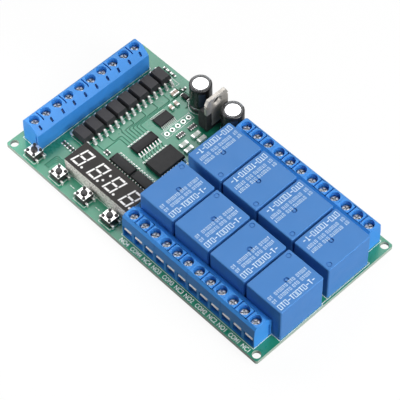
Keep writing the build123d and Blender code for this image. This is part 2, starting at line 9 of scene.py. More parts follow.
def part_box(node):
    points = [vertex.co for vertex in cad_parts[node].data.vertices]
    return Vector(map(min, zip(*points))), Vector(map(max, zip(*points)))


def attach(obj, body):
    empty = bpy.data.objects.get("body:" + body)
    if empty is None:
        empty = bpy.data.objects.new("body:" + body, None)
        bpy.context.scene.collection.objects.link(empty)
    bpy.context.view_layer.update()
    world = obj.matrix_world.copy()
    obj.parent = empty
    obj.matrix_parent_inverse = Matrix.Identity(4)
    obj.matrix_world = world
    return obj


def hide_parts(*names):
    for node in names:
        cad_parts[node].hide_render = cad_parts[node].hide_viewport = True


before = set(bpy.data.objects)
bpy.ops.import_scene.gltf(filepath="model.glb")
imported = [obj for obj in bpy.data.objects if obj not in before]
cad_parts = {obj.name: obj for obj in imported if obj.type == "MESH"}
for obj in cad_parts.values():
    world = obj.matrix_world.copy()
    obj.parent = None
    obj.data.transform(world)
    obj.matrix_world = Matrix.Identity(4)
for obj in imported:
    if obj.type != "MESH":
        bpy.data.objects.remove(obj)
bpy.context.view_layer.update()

bl_info = {
    "name": "Relay module board",
    "version": (1, 0, 0),
    "blender": (4, 5, 0),
    "location": "3D View > Sidebar > Relay board",
    "description": "Models and paints the finished pieces of an eight-relay module board on its CAD frame",
    "category": "Object",
}

# Standard pitches, in millimetres
POLE_STEP = 5.08
BLOCK_STEP = 15.24
LEAD_STEP = 1.27
HOLE_STEP = 2.54

# Real sizes that the operators share, in metres
MM = 0.001
POLE_PITCH = POLE_STEP * MM
RIB_REACH = 0.35 * MM
SCREW_DEPTH = 4.5 * MM
BOARD_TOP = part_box("circuit_board")[1].z
BOARD_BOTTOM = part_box("circuit_board")[0].z


# Colours and sizes that a user would change

def linear(code):
    """An sRGB hex colour as linear light, which is what shaders take."""
    channels = [int(code[start:start + 2], 16) / 255 for start in (1, 3, 5)]
    return tuple(c / 12.92 if c <= 0.04045 else ((c + 0.055) / 1.055) ** 2.4 for c in channels) + (1.0,)


def colour(name, code, description):
    """A colour property with a hex default."""
    return FloatVectorProperty(
        name=name, description=description, subtype="COLOR", size=4, min=0, max=1, default=linear(code)
    )


def length(name, millimetres, description):
    """A length property with its default in millimetres."""
    return FloatProperty(
        name=name,
        description=description,
        subtype="DISTANCE",
        unit="LENGTH",
        min=0,
        default=millimetres * MM,
    )


class RelayBoardColours(bpy.types.PropertyGroup):
    """The colours of the module's materials."""

    mask: colour("Solder mask", "#258C6C", "Green solder mask over the board")
    mask_deep: colour("Solder mask over gaps", "#14795A", "Solder mask where there is no copper under it")
    board_edge: colour("Board edge", "#A9BDAF", "Sawn edge of the glass-epoxy board")
    ink: colour("Board print", "#FBFFFD", "White ink printed on the solder mask")
    relay: colour("Relay case", "#4580C3", "Moulded case of each relay")
    relay_ink: colour("Relay print", "#D9ECFF", "Pale ink on top of each relay")
    relay_floor: colour("Relay base", "#23405F", "Sealed base under each relay")
    terminal: colour("Terminal block", "#3C8FE0", "Moulded housing of the terminals")
    epoxy: colour("Chip body", "#232324", "Moulded epoxy of the chips")
    opto: colour("Optocoupler body", "#313033", "Moulded epoxy of the optocouplers")
    display: colour("Display face", "#282524", "Dark printed face of the display")
    segment: colour("Display segments", "#F4F2F0", "Light-guiding resin of the digits")
    housing: colour("Display housing", "#F6F3EC", "Pale side walls of the display")
    button: colour("Button plastic", "#1D1B1D", "Base and plunger of each button")
    sleeve: colour("Capacitor sleeve", "#18181B", "Shrunk sleeve of each capacitor")
    stripe: colour("Capacitor stripe", "#B9BEC4", "Printed stripe that marks the minus lead")
    panel: colour("Capacitor panel", "#2E394B", "Printed panel on the front of a capacitor")
    cream: colour("Ceramic", "#D3BFB2", "Body of the chip capacitors")
    pale: colour("Pale chip parts", "#DDE6DA", "Body of the taller pale chip parts")
    resistor: colour("Resistor coat", "#2B2A2C", "Glass coat of the chip resistors")


class RelayBoardSizes(bpy.types.PropertyGroup):
    """The sizes of the details that the CAD frame leaves to Blender."""

    relay_corner: length("Relay corner", 0.6, "Radius of the upright corners of a relay")
    relay_rim: length("Relay rim", 0.4, "Radius round the top of a relay")
    vent: length("Relay vent", 1.9, "Diameter of the vent mark on a relay")
    terminal_edge: length("Terminal edge", 0.13, "Rounding of a terminal block's edges")
    well: length("Screw well", 3.7, "Diameter of the well over a terminal screw")
    screw_slot: length("Screw slot", 0.55, "Width of the crossed slots in a terminal screw")
    chip_edge: length("Chip edge", 0.09, "Rounding of a chip body's edges")
    lead_edge: length("Lead edge", 0.05, "Rounding of a lead's edges")
    rivet: length("Button rivet", 1.1, "Diameter of the four rivets of a button")
    print_line: length("Print line", 0.24, "Width of the lines printed on the board")
    track: length("Track", 0.34, "Width of the etched lines that show through the mask")


# Modelling by hand: selection, shaping and finishing

def deselect():
    """Leaves edit mode and deselects everything, the frame's nodes among it."""
    if bpy.context.object and bpy.context.object.mode != "OBJECT":
        bpy.ops.object.mode_set(mode="OBJECT")
    bpy.ops.object.select_all(action="DESELECT")


def take(piece):
    """Makes one piece the selected and active one."""
    deselect()
    piece.select_set(True)
    bpy.context.view_layer.objects.active = piece


def settle(piece):
    """Moves a piece's place, turn and scale into its mesh."""
    take(piece)
    bpy.ops.object.transform_apply(location=True, rotation=True, scale=True)
    return piece


def block(name, low, high):
    """A cube added at its size and place, between two corners."""
    deselect()
    low = Vector(low)
    high = Vector(high)
    bpy.ops.mesh.primitive_cube_add(size=1.0, location=(low + high) / 2, scale=high - low)
    piece = bpy.context.object
    piece.name = name
    return settle(piece)


def round_post(name, diameter, low, high, x=0.0, y=0.0, sides=48):
    """A cylinder added at its size and place, between two levels."""
    deselect()
    bpy.ops.mesh.primitive_cylinder_add(
        vertices=sides, radius=diameter / 2, depth=high - low, location=(x, y, (low + high) / 2)
    )
    piece = bpy.context.object
    piece.name = name
    return settle(piece)


def pick(piece, kind, test):
    """Opens a piece in edit mode with only the faces or edges that pass the test selected."""
    take(piece)
    bpy.ops.object.mode_set(mode="EDIT")
    bpy.ops.mesh.select_mode(type=kind)
    bpy.ops.mesh.select_all(action="DESELECT")
    shape = bmesh.from_edit_mesh(piece.data)
    for part in (shape.faces if kind == "FACE" else shape.edges):
        if test(part):
            part.select_set(True)
    bmesh.update_edit_mesh(piece.data)


def shape_all(piece):
    """Opens a piece in edit mode with all of it selected."""
    take(piece)
    bpy.ops.object.mode_set(mode="EDIT")
    bpy.ops.mesh.select_all(action="SELECT")


def bevel_edges(piece, test, width, segments=3):
    """Rounds the edges that pass the test."""
    pick(piece, "EDGE", test)
    bpy.ops.mesh.bevel(offset=width, segments=segments, profile=0.5, affect="EDGES")
    deselect()


def upright(edge):
    """True for an edge that runs straight up."""
    first, second = (vertex.co for vertex in edge.verts)
    return abs(first.x - second.x) + abs(first.y - second.y) < 1e-7


def at_level(level):
    """A test for edges that lie at one level."""
    return lambda edge: all(abs(vertex.co.z - level) < 1e-6 for vertex in edge.verts)


def facing(z):
    """A test for faces that look up (1) or down (-1)."""
    return lambda face: face.normal.z * z > 0.95


def extrude(move):
    """Draws the selected faces out by a move."""
    bpy.ops.mesh.extrude_region_move(TRANSFORM_OT_translate={"value": move})


def trim(piece, point, outward):
    """Cuts away all of a piece beyond a plane and closes the cut."""
    shape_all(piece)
    bpy.ops.mesh.bisect(plane_co=point, plane_no=outward, use_fill=True, clear_outer=True)
    deselect()


def score(piece, point, direction):
    """Cuts a line of edges round a piece where a plane meets it."""
    shape_all(piece)
    bpy.ops.mesh.bisect(plane_co=point, plane_no=direction)
    deselect()


def combine(piece, other, operation="DIFFERENCE"):
    """Takes the other shape out of the piece, or adds it, and removes the other."""
    take(piece)
    change = piece.modifiers.new("Combine", "BOOLEAN")
    change.object = other
    change.operation = operation
    change.solver = "EXACT"
    bpy.ops.object.modifier_apply(modifier=change.name)
    bpy.data.objects.remove(other)


def smooth(piece, angle=32):
    """Shades a piece smooth, apart from edges sharper than the angle."""
    take(piece)
    bpy.ops.object.shade_smooth_by_angle(angle=math.radians(angle))
    return piece


def even_shading(piece):
    """Leans the shading towards the large faces, so that a flat with rounded edges looks flat."""
    take(piece)
    change = piece.modifiers.new("Even shading", "WEIGHTED_NORMAL")
    change.keep_sharp = True
    bpy.ops.object.modifier_apply(modifier=change.name)
    return piece


def soften(piece, width, segments=2, angle=35):
    """Rounds every edge of a piece that is sharper than the angle."""
    take(piece)
    change = piece.modifiers.new("Soften", "BEVEL")
    change.width = width
    change.segments = segments
    change.limit_method = "ANGLE"
    change.angle_limit = math.radians(angle)
    bpy.ops.object.modifier_apply(modifier=change.name)
    return even_shading(smooth(piece))


def placed_copy(piece, place):
    """A copy with its own mesh, moved to its place."""
    mesh = piece.data.copy()
    mesh.transform(place)
    twin = bpy.data.objects.new(piece.name, mesh)
    bpy.context.collection.objects.link(twin)
    return twin


def copies(piece, places):
    """One piece that holds a copy of the model at each place; the model is used up."""
    twins = [placed_copy(piece, place) for place in places]
    bpy.data.objects.remove(piece)
    return joined(twins)


def joined(pieces):
    """Several pieces made one."""
    deselect()
    for piece in pieces:
        piece.select_set(True)
    bpy.context.view_layer.objects.active = pieces[0]
    if len(pieces) > 1:
        bpy.ops.object.join()
    return pieces[0]


def finished_copy(node, width, segments=2):
    """A copy of a CAD node, with its triangles merged into whole faces and its edges rounded."""
    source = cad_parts[node]
    mesh = source.data.copy()
    mesh.transform(source.matrix_world)
    piece = bpy.data.objects.new(f"{node}_copy", mesh)
    bpy.context.collection.objects.link(piece)
    shape_all(piece)
    bpy.ops.mesh.remove_doubles(threshold=1e-6)
    bpy.ops.mesh.dissolve_limited(angle_limit=math.radians(1))
    deselect()
    return soften(piece, width, segments)


def strokes(name, lines, width, height, level):
    """Low rounded strips along lines of points, as ink and tracks lie on a board."""
    curve = bpy.data.curves.new(name, "CURVE")
    curve.dimensions = "3D"
    curve.bevel_depth = width / 2
    curve.bevel_resolution = 1
    curve.use_fill_caps = True
    for points, closed in lines:
        spline = curve.splines.new("POLY")
        spline.points.add(len(points) - 1)
        for target, (x, y) in zip(spline.points, points):
            target.co = (x * MM, y * MM, 0, 1)
        spline.use_cyclic_u = closed
    piece = bpy.data.objects.new(name, curve)
    bpy.context.collection.objects.link(piece)
    take(piece)
    bpy.ops.object.convert(target="MESH")
    piece = bpy.context.object
    flatten = Matrix.Diagonal((1, 1, 2 * height / width, 1))
    piece.data.transform(Matrix.Translation((0, 0, level)) @ flatten)
    return smooth(piece, 60)


def label(text, height, x, y, turn=0, condense=0.8):
    """Generic lettering as a thin mesh, centred on its place in millimetres."""
    deselect()
    bpy.ops.object.text_add()
    words = bpy.context.object
    words.data.body = text
    words.data.size = height * MM * 1.4
    words.data.align_x = "CENTER"
    words.data.align_y = "CENTER"
    words.data.extrude = 0.01 * MM
    words.data.offset = 0.045 * MM
    bpy.ops.object.convert(target="MESH")
    words = bpy.context.object
    place = Matrix.Translation((x * MM, y * MM, BOARD_TOP)) @ Matrix.Rotation(math.radians(turn), 4, "Z")
    words.data.transform(place @ Matrix.Diagonal((condense, 1, 1, 1)))
    return words


def rectangle(low_x, low_y, high_x, high_y):
    """A closed line round a rectangle."""
    return ([(low_x, low_y), (high_x, low_y), (high_x, high_y), (low_x, high_y)], True)


def rectangle_round(x, y, half_x, half_y):
    """A closed line round a rectangle, from its middle."""
    return rectangle(x - half_x, y - half_y, x + half_x, y + half_y)


def circle_points(x, y, diameter, sides=40):
    """Points round a circle, from its +X side."""
    radius = diameter / 2
    turns = [2 * math.pi * step / sides for step in range(sides)]
    return [(x + radius * math.cos(turn), y + radius * math.sin(turn)) for turn in turns]


def put(piece, name, material, body="board", stands_for=()):
    """Names a finished piece, paints it and sets it on its body; it may stand for CAD nodes."""
    piece.name = name
    piece.data.name = name
    if not piece.data.materials:
        piece.data.materials.append(material)
    elif len(piece.data.materials) == 1:
        piece.data.materials[0] = material
    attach(piece, body)
    if stands_for:
        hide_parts(*stands_for)


def paint_node(node, material):
    """Gives a CAD node that stays its finished material."""
    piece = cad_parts[node]
    if not piece.material_slots:
        piece.data.materials.append(material)
    for holder in piece.material_slots:
        holder.material = material


# Places of the repeated pieces, read from the frame

def middle(node):
    """The middle of a node's box, in metres."""
    low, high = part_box(node)
    return (low + high) / 2


def turned(x, y, degrees=0):
    """A place on the board, turned about its upright axis."""
    return Matrix.Translation((x, y, BOARD_TOP)) @ Matrix.Rotation(math.radians(degrees), 4, "Z")


def relay_places():
    """Where the eight relays stand; the back row is turned half round."""
    places = []
    for number in range(1, 9):
        centre = middle(f"relay_case_{number}")
        places.append(turned(centre.x, centre.y, 0 if number <= 4 else 180))
    return places


def terminal_rows():
    """Each terminal block's node, its number of poles and the place of its back corner."""
    rows = []
    for number in range(1, 6):
        node = f"input_terminal_{number}"
        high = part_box(node)[1]
        rows.append((node, 2, turned(high.x, high.y - RIB_REACH, -90)))
    for number in range(1, 5):
        node = f"front_terminal_{number}"
        low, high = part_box(node)
        rows.append((node, 3, turned(low.x + RIB_REACH, high.y)))
    for number in range(1, 5):
        node = f"back_terminal_{number}"
        low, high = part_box(node)
        rows.append((node, 3, turned(high.x - RIB_REACH, low.y, 180)))
    return rows


def pole_places():
    """The place of every terminal pole."""
    places = []
    for _, poles, place in terminal_rows():
        for pole in range(poles):
            places.append(place @ Matrix.Translation(((pole + 0.5) * POLE_PITCH, 0, 0)))
    return places


def groups(node, keep, reach=0.9):
    """The middle points of the separate bits of a node whose corners pass a test."""
    found = []
    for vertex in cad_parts[node].data.vertices:
        if not keep(vertex.co):
            continue
        spot = Vector((vertex.co.x, vertex.co.y))
        for group in found:
            if (group[0] - spot).length < reach * MM:
                group.append(spot)
                break
        else:
            found.append([spot])
    centres = []
    for group in found:
        xs = [spot.x for spot in group]
        ys = [spot.y for spot in group]
        centres.append(((min(xs) + max(xs)) / 2, (min(ys) + max(ys)) / 2))
    return centres


def solids(node):
    """The boxes of the separate solids of a node."""
    mesh = bmesh.new()
    mesh.from_mesh(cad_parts[node].data)
    bmesh.ops.remove_doubles(mesh, verts=mesh.verts, dist=1e-6)
    left = set(mesh.verts)
    boxes = []
    while left:
        start = left.pop()
        island = [start]
        for vertex in island:
            for edge in vertex.link_edges:
                other = edge.other_vert(vertex)
                if other in left:
                    left.remove(other)
                    island.append(other)
        lows = Vector([min(vertex.co[axis] for vertex in island) for axis in range(3)])
        highs = Vector([max(vertex.co[axis] for vertex in island) for axis in range(3)])
        boxes.append((lows, highs))
    mesh.free()
    return sorted(boxes, key=lambda pair: tuple(pair[0]))


# Materials

def per_mm(size):
    """The scale of a texture whose features are so many millimetres wide."""
    return 1 / (size * MM)


def add_node(material, kind, settings=None, links=None):
    """One shader node with its settings and with what feeds its sockets."""
    node = material.node_tree.nodes.new(kind)
    for name, value in (settings or {}).items():
        if isinstance(name, int) or name in node.inputs:
            node.inputs[name].default_value = value
        else:
            setattr(node, name, value)
    for name, source in (links or {}).items():
        material.node_tree.links.new(source, node.inputs[name])
    return node


def shaded(shade, factor):
    """A colour made darker or lighter."""
    return tuple(min(1.0, channel * factor) for channel in shade[:3]) + (1.0,)


def finish(name, shade, roughness, metallic=0.0, ior=1.5, patches=0.08, patch_mm=4.0, uneven=0.05,
           grain_mm=0.3, grain_depth=0.004):
    """A material with soft patches of tone, uneven gloss and a fine grain in its surface."""
    material = bpy.data.materials.new(name)
    material.use_nodes = True
    shader = material.node_tree.nodes["Principled BSDF"]
    shader.inputs["Metallic"].default_value = metallic
    if not metallic:
        shader.inputs["IOR"].default_value = ior
    connect = material.node_tree.links.new
    place = add_node(material, "ShaderNodeTexCoord").outputs["Object"]
    cloud = add_node(
        material, "ShaderNodeTexNoise", {"Scale": per_mm(patch_mm), "Detail": 3.0}, {"Vector": place}
    )
    tone = add_node(
        material,
        "ShaderNodeMix",
        {"data_type": "RGBA", 6: shaded(shade, 1 - patches), 7: shaded(shade, 1 + patches), "name": "Tone"},
        {0: cloud.outputs[0]},
    )
    connect(tone.outputs[2], shader.inputs["Base Color"])
    handled = add_node(material, "ShaderNodeTexNoise", {"Scale": per_mm(patch_mm * 0.6)}, {"Vector": place})
    gloss = add_node(
        material,
        "ShaderNodeMapRange",
        {"From Min": 0.3, "From Max": 0.7, "To Min": roughness - uneven, "To Max": roughness + uneven},
        {"Value": handled.outputs[0]},
    )
    connect(gloss.outputs[0], shader.inputs["Roughness"])
    grain = add_node(
        material, "ShaderNodeTexNoise", {"Scale": per_mm(grain_mm), "Detail": 2.0}, {"Vector": place}
    )
    relief = add_node(
        material,
        "ShaderNodeBump",
        {"Strength": 1.0, "Distance": grain_depth * MM},
        {"Height": grain.outputs[0]},
    )
    connect(relief.outputs[0], shader.inputs["Normal"])
    return material


def solder_mask(look):
    """Liquid solder mask, cured over etched copper: a deep glossy green, paler over the copper pour.

    The sawn edge of the board shows the pale glass-epoxy between the two skins of mask.
    """
    material = finish("Solder mask on glass-epoxy", look.mask, 0.3, ior=1.65, patches=0.05, patch_mm=9,
                      uneven=0.04, grain_mm=0.5, grain_depth=0.003)
    nodes = material.node_tree.nodes
    connect = material.node_tree.links.new
    shader = nodes["Principled BSDF"]
    place = add_node(material, "ShaderNodeTexCoord").outputs["Object"]
    # Copper pour below the mask: broad fields, paler where the copper is whole
    pour = add_node(material, "ShaderNodeTexNoise", {"Scale": per_mm(14), "Detail": 1.0}, {"Vector": place})
    amount = add_node(
        material,
        "ShaderNodeMapRange",
        {"From Min": 0.42, "From Max": 0.58, "To Min": 0.5, "To Max": 0.0},
        {"Value": pour.outputs[0]},
    )
    mask = add_node(
        material,
        "ShaderNodeMix",
        {"data_type": "RGBA", 7: look.mask_deep},
        {0: amount.outputs[0], 6: nodes["Tone"].outputs[2]},
    )
    # The edge is where the surface looks sideways
    normal = add_node(material, "ShaderNodeNewGeometry").outputs["True Normal"]
    split = add_node(material, "ShaderNodeSeparateXYZ", None, {"Vector": normal})
    flat = add_node(material, "ShaderNodeMath", {"operation": "ABSOLUTE"}, {0: split.outputs["Z"]})
    side = add_node(material, "ShaderNodeMath", {"operation": "LESS_THAN", 1: 0.5}, {0: flat.outputs[0]})
    fibre = add_node(
        material,
        "ShaderNodeTexNoise",
        {"Scale": per_mm(0.35), "Detail": 4.0},
        {"Vector": place},
    )
    edge = add_node(
        material,
        "ShaderNodeMix",
        {"data_type": "RGBA", 6: shaded(look.board_edge, 0.75), 7: shaded(look.board_edge, 1.15)},
        {0: fibre.outputs[0]},
    )
    whole = add_node(
        material,
        "ShaderNodeMix",
        {"data_type": "RGBA"},
        {0: side.outputs[0], 6: mask.outputs[2], 7: edge.outputs[2]},
    )
    connect(whole.outputs[2], shader.inputs["Base Color"])
    return material


def mottled_housing(look):
    """ABS display shell, moulded pale and smeared by dark potting resin: warm grey with dark mottles."""
    material = finish("Potted ABS display shell", look.housing, 0.5, patches=0.06, patch_mm=2)
    nodes = material.node_tree.nodes
    place = add_node(material, "ShaderNodeTexCoord").outputs["Object"]
    smear = add_node(
        material,
        "ShaderNodeTexNoise",
        {"Scale": per_mm(0.5), "Detail": 5.0, "Roughness": 0.6},
        {"Vector": place},
    )
    amount = add_node(
        material,
        "ShaderNodeMapRange",
        {"From Min": 0.54, "From Max": 0.58, "To Min": 0.0, "To Max": 0.85},
        {"Value": smear.outputs[0]},
    )
    stained = add_node(
        material,
        "ShaderNodeMix",
        {"data_type": "RGBA", 7: linear("#4A4038")},
        {0: amount.outputs[0], 6: nodes["Tone"].outputs[2]},
    )
    material.node_tree.links.new(stained.outputs[2], nodes["Principled BSDF"].inputs["Base Color"])
    return material


def make_materials(look):
    """Every material of the module, by its common name."""
    steel = linear("#B4B7BB")
    tin = linear("#F2F1EE")
    return {
        # Solder mask: deep glossy green, paler over the copper
        "mask": solder_mask(look),
        # Screen-printed epoxy ink: matt white, a little thin, so that some green shows through
        "ink": finish("Screen-printed white ink", look.ink, 0.6, patches=0.12, patch_mm=0.8, grain_mm=0.1),
        # Copper tracks under the mask: the same green, a shade lighter where copper lies below
        "track": finish("Masked copper track", shaded(look.mask, 1.3), 0.3, ior=1.65, patches=0.06,
                        patch_mm=3),
        # The gap etched beside a track: the mask sinks over bare glass-epoxy and looks deep green
        "gap": finish("Mask over etched gap", shaded(look.mask_deep, 0.45), 0.45, ior=1.15, patches=0.08,
                      patch_mm=3),
        # PBT, moulded: even mid blue with a soft satin gloss
        "relay": finish("Moulded PBT relay case", look.relay, 0.42, ior=1.32, patches=0.05, patch_mm=7,
                        grain_mm=0.18, grain_depth=0.005),
        # Pad-printed ink: pale blue, because the case shows through it
        "relay_ink": finish("Pad-printed pale ink", look.relay_ink, 0.55, patches=0.14, patch_mm=0.6),
        # Cast sealing epoxy: dark and slightly wavy
        "relay_floor": finish("Cast sealing epoxy", look.relay_floor, 0.3, patches=0.15, patch_mm=3,
                              grain_mm=1.5, grain_depth=0.02),
        # Polyamide, moulded: bright blue, satin, with faint flow marks
        "terminal": finish("Moulded polyamide housing", look.terminal, 0.38, ior=1.36, patches=0.07,
                           patch_mm=3, grain_mm=0.25, grain_depth=0.006),
        # Zinc-plated steel, cold headed: bright, slightly grey, finely scuffed
        "screw": finish("Zinc-plated steel screw", steel, 0.46, metallic=1.0, patches=0.12, patch_mm=0.7,
                        uneven=0.08, grain_mm=0.12, grain_depth=0.006),
        # Tinned brass, stamped: bright and silvery, with soft streaks
        "leaf": finish("Tinned brass strip", tin, 0.3, metallic=0.3, patches=0.06, patch_mm=1.2,
                       uneven=0.08),
        # Tinned copper, rolled and part oxidised: silver-white, more satin than mirror
        "lead": finish("Tinned copper lead", tin, 0.3, metallic=0.4, patches=0.06, patch_mm=0.8,
                       uneven=0.08, grain_mm=0.2),
        # Reflowed solder: mirror-like in places, dull in others, with a frosted skin
        "solder": finish("Reflowed solder", linear("#E2E4E1"), 0.4, metallic=0.7, patches=0.12,
                         patch_mm=0.6, uneven=0.12, grain_mm=0.3, grain_depth=0.02),
        # Filled epoxy, transfer moulded: dark grey, matt, finely pitted
        "epoxy": finish("Transfer-moulded epoxy", look.epoxy, 0.55, ior=1.33, patches=0.1, patch_mm=1.5,
                        grain_mm=0.08, grain_depth=0.008),
        # The same epoxy with less black in it: a shade greyer
        "opto": finish("Transfer-moulded epoxy, grey", look.opto, 0.55, ior=1.36, patches=0.08,
                       patch_mm=1.5, grain_mm=0.08, grain_depth=0.008),
        # Printed polycarbonate film: brown-black with a low sheen
        "display": finish("Printed face film", look.display, 0.5, ior=1.3, patches=0.06, patch_mm=5,
                          grain_mm=0.15),
        # Cast diffusing epoxy: milky and smooth
        "segment": finish("Cast diffusing resin", look.segment, 0.35, patches=0.04, patch_mm=1,
                          grain_mm=0.3),
        # Moulded shell smeared by resin: warm grey with dark mottles
        "housing": mottled_housing(look),
        # Glass-filled nylon, moulded: black with a dull sheen
        "button": finish("Moulded black nylon", look.button, 0.4, patches=0.12, patch_mm=1, grain_mm=0.1),
        # Tin-plated steel sheet, stamped: near white in soft light
        "cover": finish("Tin-plated steel cover", linear("#EFEFED"), 0.3, metallic=1.0, patches=0.05,
                        patch_mm=0.8, uneven=0.08),
        # Shrunk PVC: black and glossy, drawn tight over the can
        "sleeve": finish("Shrunk PVC sleeve", look.sleeve, 0.28, patches=0.1, patch_mm=2, grain_mm=1.2,
                         grain_depth=0.015),
        # Ink printed on the sleeve: a dull grey-blue field
        "panel": finish("Printed sleeve panel", look.panel, 0.4, patches=0.1, patch_mm=1.2),
        # Ink printed on the sleeve: a pale grey bar with a low sheen
        "stripe": finish("Printed sleeve stripe", look.stripe, 0.35, patches=0.08, patch_mm=1.5),
        # Aluminium, deep drawn: pale, soft sheen with fine die lines
        "can": finish("Deep-drawn aluminium can", linear("#E6E7E8"), 0.32, metallic=1.0, patches=0.06,
                      patch_mm=1.5, uneven=0.06, grain_mm=0.15),
        # Nickel-plated copper sheet, punched: light grey with cloudy handling marks
        "tab": finish("Plated copper tab", linear("#A8A49E"), 0.5, metallic=0.75, patches=0.12,
                      patch_mm=2.5, uneven=0.1, grain_mm=0.2),
        # Fired ceramic under black glass: dark, with a soft gloss
        "resistor": finish("Glass-coated resistor", look.resistor, 0.35, patches=0.1, patch_mm=0.5),
        # Glazed ceramic: pale and slightly glossy
        "pale": finish("Pale glazed chip part", look.pale, 0.4, patches=0.06, patch_mm=0.8),
        # Fired ceramic: cream, slightly rough
        "cream": finish("Fired chip ceramic", look.cream, 0.5, patches=0.1, patch_mm=0.6, grain_mm=0.06,
                        grain_depth=0.006),
    }


made = {}


def materials():
    """The materials, made on first use."""
    if not made:
        made.update(make_materials(bpy.context.scene.relay_board_colours))
    return made


# Models of the repeated pieces, each in its own frame with the board at level zero

def model_relay(sizes):
    """One relay's case: rounded corners, a hollow foot and two mould marks on top."""
    low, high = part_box("relay_case_1")
    span = high - low
    case = block("relay", (-span.x / 2, -span.y / 2, 0), (span.x / 2, span.y / 2, span.z))
    bevel_edges(case, upright, sizes.relay_corner, 5)
    bevel_edges(case, at_level(span.z), sizes.relay_rim, 4)
    pick(case, "FACE", facing(z=-1))
    bpy.ops.mesh.inset(thickness=0.6 * MM)
    extrude((0, 0, 1.7 * MM))
    deselect()
    top = span.z
    vent_x, vent_y = 0.0, 0.65 * MM
    mark_x, mark_y = -5.9 * MM, 7.6 * MM
    for x, y, inner, depth in ((vent_x, vent_y, 1.0, 0.6), (mark_x, mark_y, 1.35, 0.3)):
        moat = round_post("cut", sizes.vent, top - depth * MM, top + MM, x, y)
        combine(moat, round_post("cut", inner * MM, top - MM, top - 0.12 * MM, x, y))
        combine(case, moat)
    return even_shading(smooth(case, 30))


def relay_print(level):
    """The pale marks on a relay's top: rows of boxes, posts and dashes, which can look like letters."""
    lines = []
    for column in (1.2, 3.1):
        for start, end in ((-8.4, -6.1), (-5.6, -0.3), (0.5, 3.6), (4.0, 8.4)):
            lines += mark_row(column, start, end, 1.1, 0.5, 0.42, set())
    small = strokes("print", lines, 0.19 * MM, 0.012 * MM, level)
    lines = mark_row(5.75, -8.4, 8.4, 1.85, 0.92, 0.42, {3, 9, 11})
    large = strokes("print", lines, 0.3 * MM, 0.012 * MM, level)
    return joined([small, large])


def mark_row(x, start, end, height, width, gap, dashes):
    """A row of small boxes and barred posts, like O and T to the eye; the numbered ones are dashes."""
    lines = []
    pitch = width + gap
    for index in range(int((end - start + gap) / pitch)):
        low = start + index * pitch
        high = low + width
        if index in dashes:
            lines.append(([(x, low), (x, high)], False))
        elif index % 3 == 1:
            middle_y = (low + high) / 2
            lines.append(([(x - height / 2, middle_y), (x + height / 2, middle_y)], False))
            lines.append(([(x - height / 2, low), (x - height / 2, high)], False))
        else:
            lines.append(rectangle(x - height / 2, low, x + height / 2, high))
    return lines


def pole_cutter(x):
    """The hollow of one pole: a chamber over a thin floor, with a lower way out in front."""
    half = 1.95 * MM
    floor = 0.25 * MM
    lintel = 5.3 * MM
    front_wall = -7.2 * MM
    cutter = block("cut", (x - half, -8.8 * MM, floor), (x + half, -1.7 * MM, lintel))
    score(cutter, (0, front_wall, 0), (0, 1, 0))
    pick(cutter, "FACE", lambda face: face.normal.z > 0.9 and face.calc_center_median().y > front_wall)
    extrude((0, 0, 2.3 * MM))
    deselect()
    return cutter


def model_terminal(poles, slotted, sizes):
    """One terminal block: a cut section with chambers, wells, cuts between poles, rib and key groove."""
    span = poles * POLE_PITCH
    housing = block("terminal", (0, -7.8 * MM, 0), (span, 0, 10.6 * MM))
    if slotted:
        trim(housing, (0, 0, 7.5 * MM), (0, 3.1, 2.45))
    else:
        trim(housing, (0, 0, 8.1 * MM), (0, 2.5, 1.9))
    trim(housing, (0, -6.6 * MM, 10.6 * MM), (0, -2.4, 1.0))
    trim(housing, (0, -7.6 * MM, 8.2 * MM), (0, -3.7, 0.08))
    centres = [(pole + 0.5) * POLE_PITCH for pole in range(poles)]
    combine(housing, joined([pole_cutter(x) for x in centres]))
    wells = [round_post("cut", sizes.well, 7.58 * MM, 12 * MM, x, -SCREW_DEPTH) for x in centres]
    combine(housing, joined(wells))
    grooves = []
    for joint in range(1, poles):
        x = joint * POLE_PITCH
        half = 0.24 * MM
        grooves.append(block("cut", (x - half, -6.5 * MM, 8.4 * MM), (x + half, -2.5 * MM, 12 * MM)))
    combine(housing, joined(grooves))
    if slotted:
        slope = math.atan2(3.1, -2.45)
        slots = []
        for x in centres:
            slot = block("cut", (-0.44 * MM, -0.95 * MM, -0.9 * MM), (0.44 * MM, 0.95 * MM, 2.4 * MM))
            bevel_edges(slot, upright, 0.38 * MM, 4)
            place = Matrix.Translation((x, -1.225 * MM, 9.05 * MM)) @ Matrix.Rotation(slope, 4, "X")
            slot.data.transform(place)
            slots.append(slot)
        combine(housing, joined(slots))
    combine(housing, block("cut", (span - 0.4 * MM, -1.4 * MM, -MM), (span + MM, -0.9 * MM, 6.5 * MM)))
    rib = block("rib", (-RIB_REACH, -1.35 * MM, 0), (MM, -0.95 * MM, 6.45 * MM))
    combine(housing, rib, "UNION")
    return soften(housing, sizes.terminal_edge, 2, 50)


def model_screw(sizes):
    """One terminal screw's head: a low dome with a long slot crossed by a shorter one."""
    top = 8.85 * MM
    head = round_post("screw", 3.3 * MM, 7.4 * MM, top)
    bevel_edges(head, at_level(top), 0.5 * MM, 5)
    half = sizes.screw_slot / 2
    long_end = 2 * MM
    short_end = 1.1 * MM
    combine(head, block("cut", (-long_end, -half, 8.2 * MM), (long_end, half, 10 * MM)))
    combine(head, block("cut", (-half, -short_end, 8.1 * MM), (half, short_end, 10 * MM)))
    return soften(head, 0.04 * MM, 2, 45)


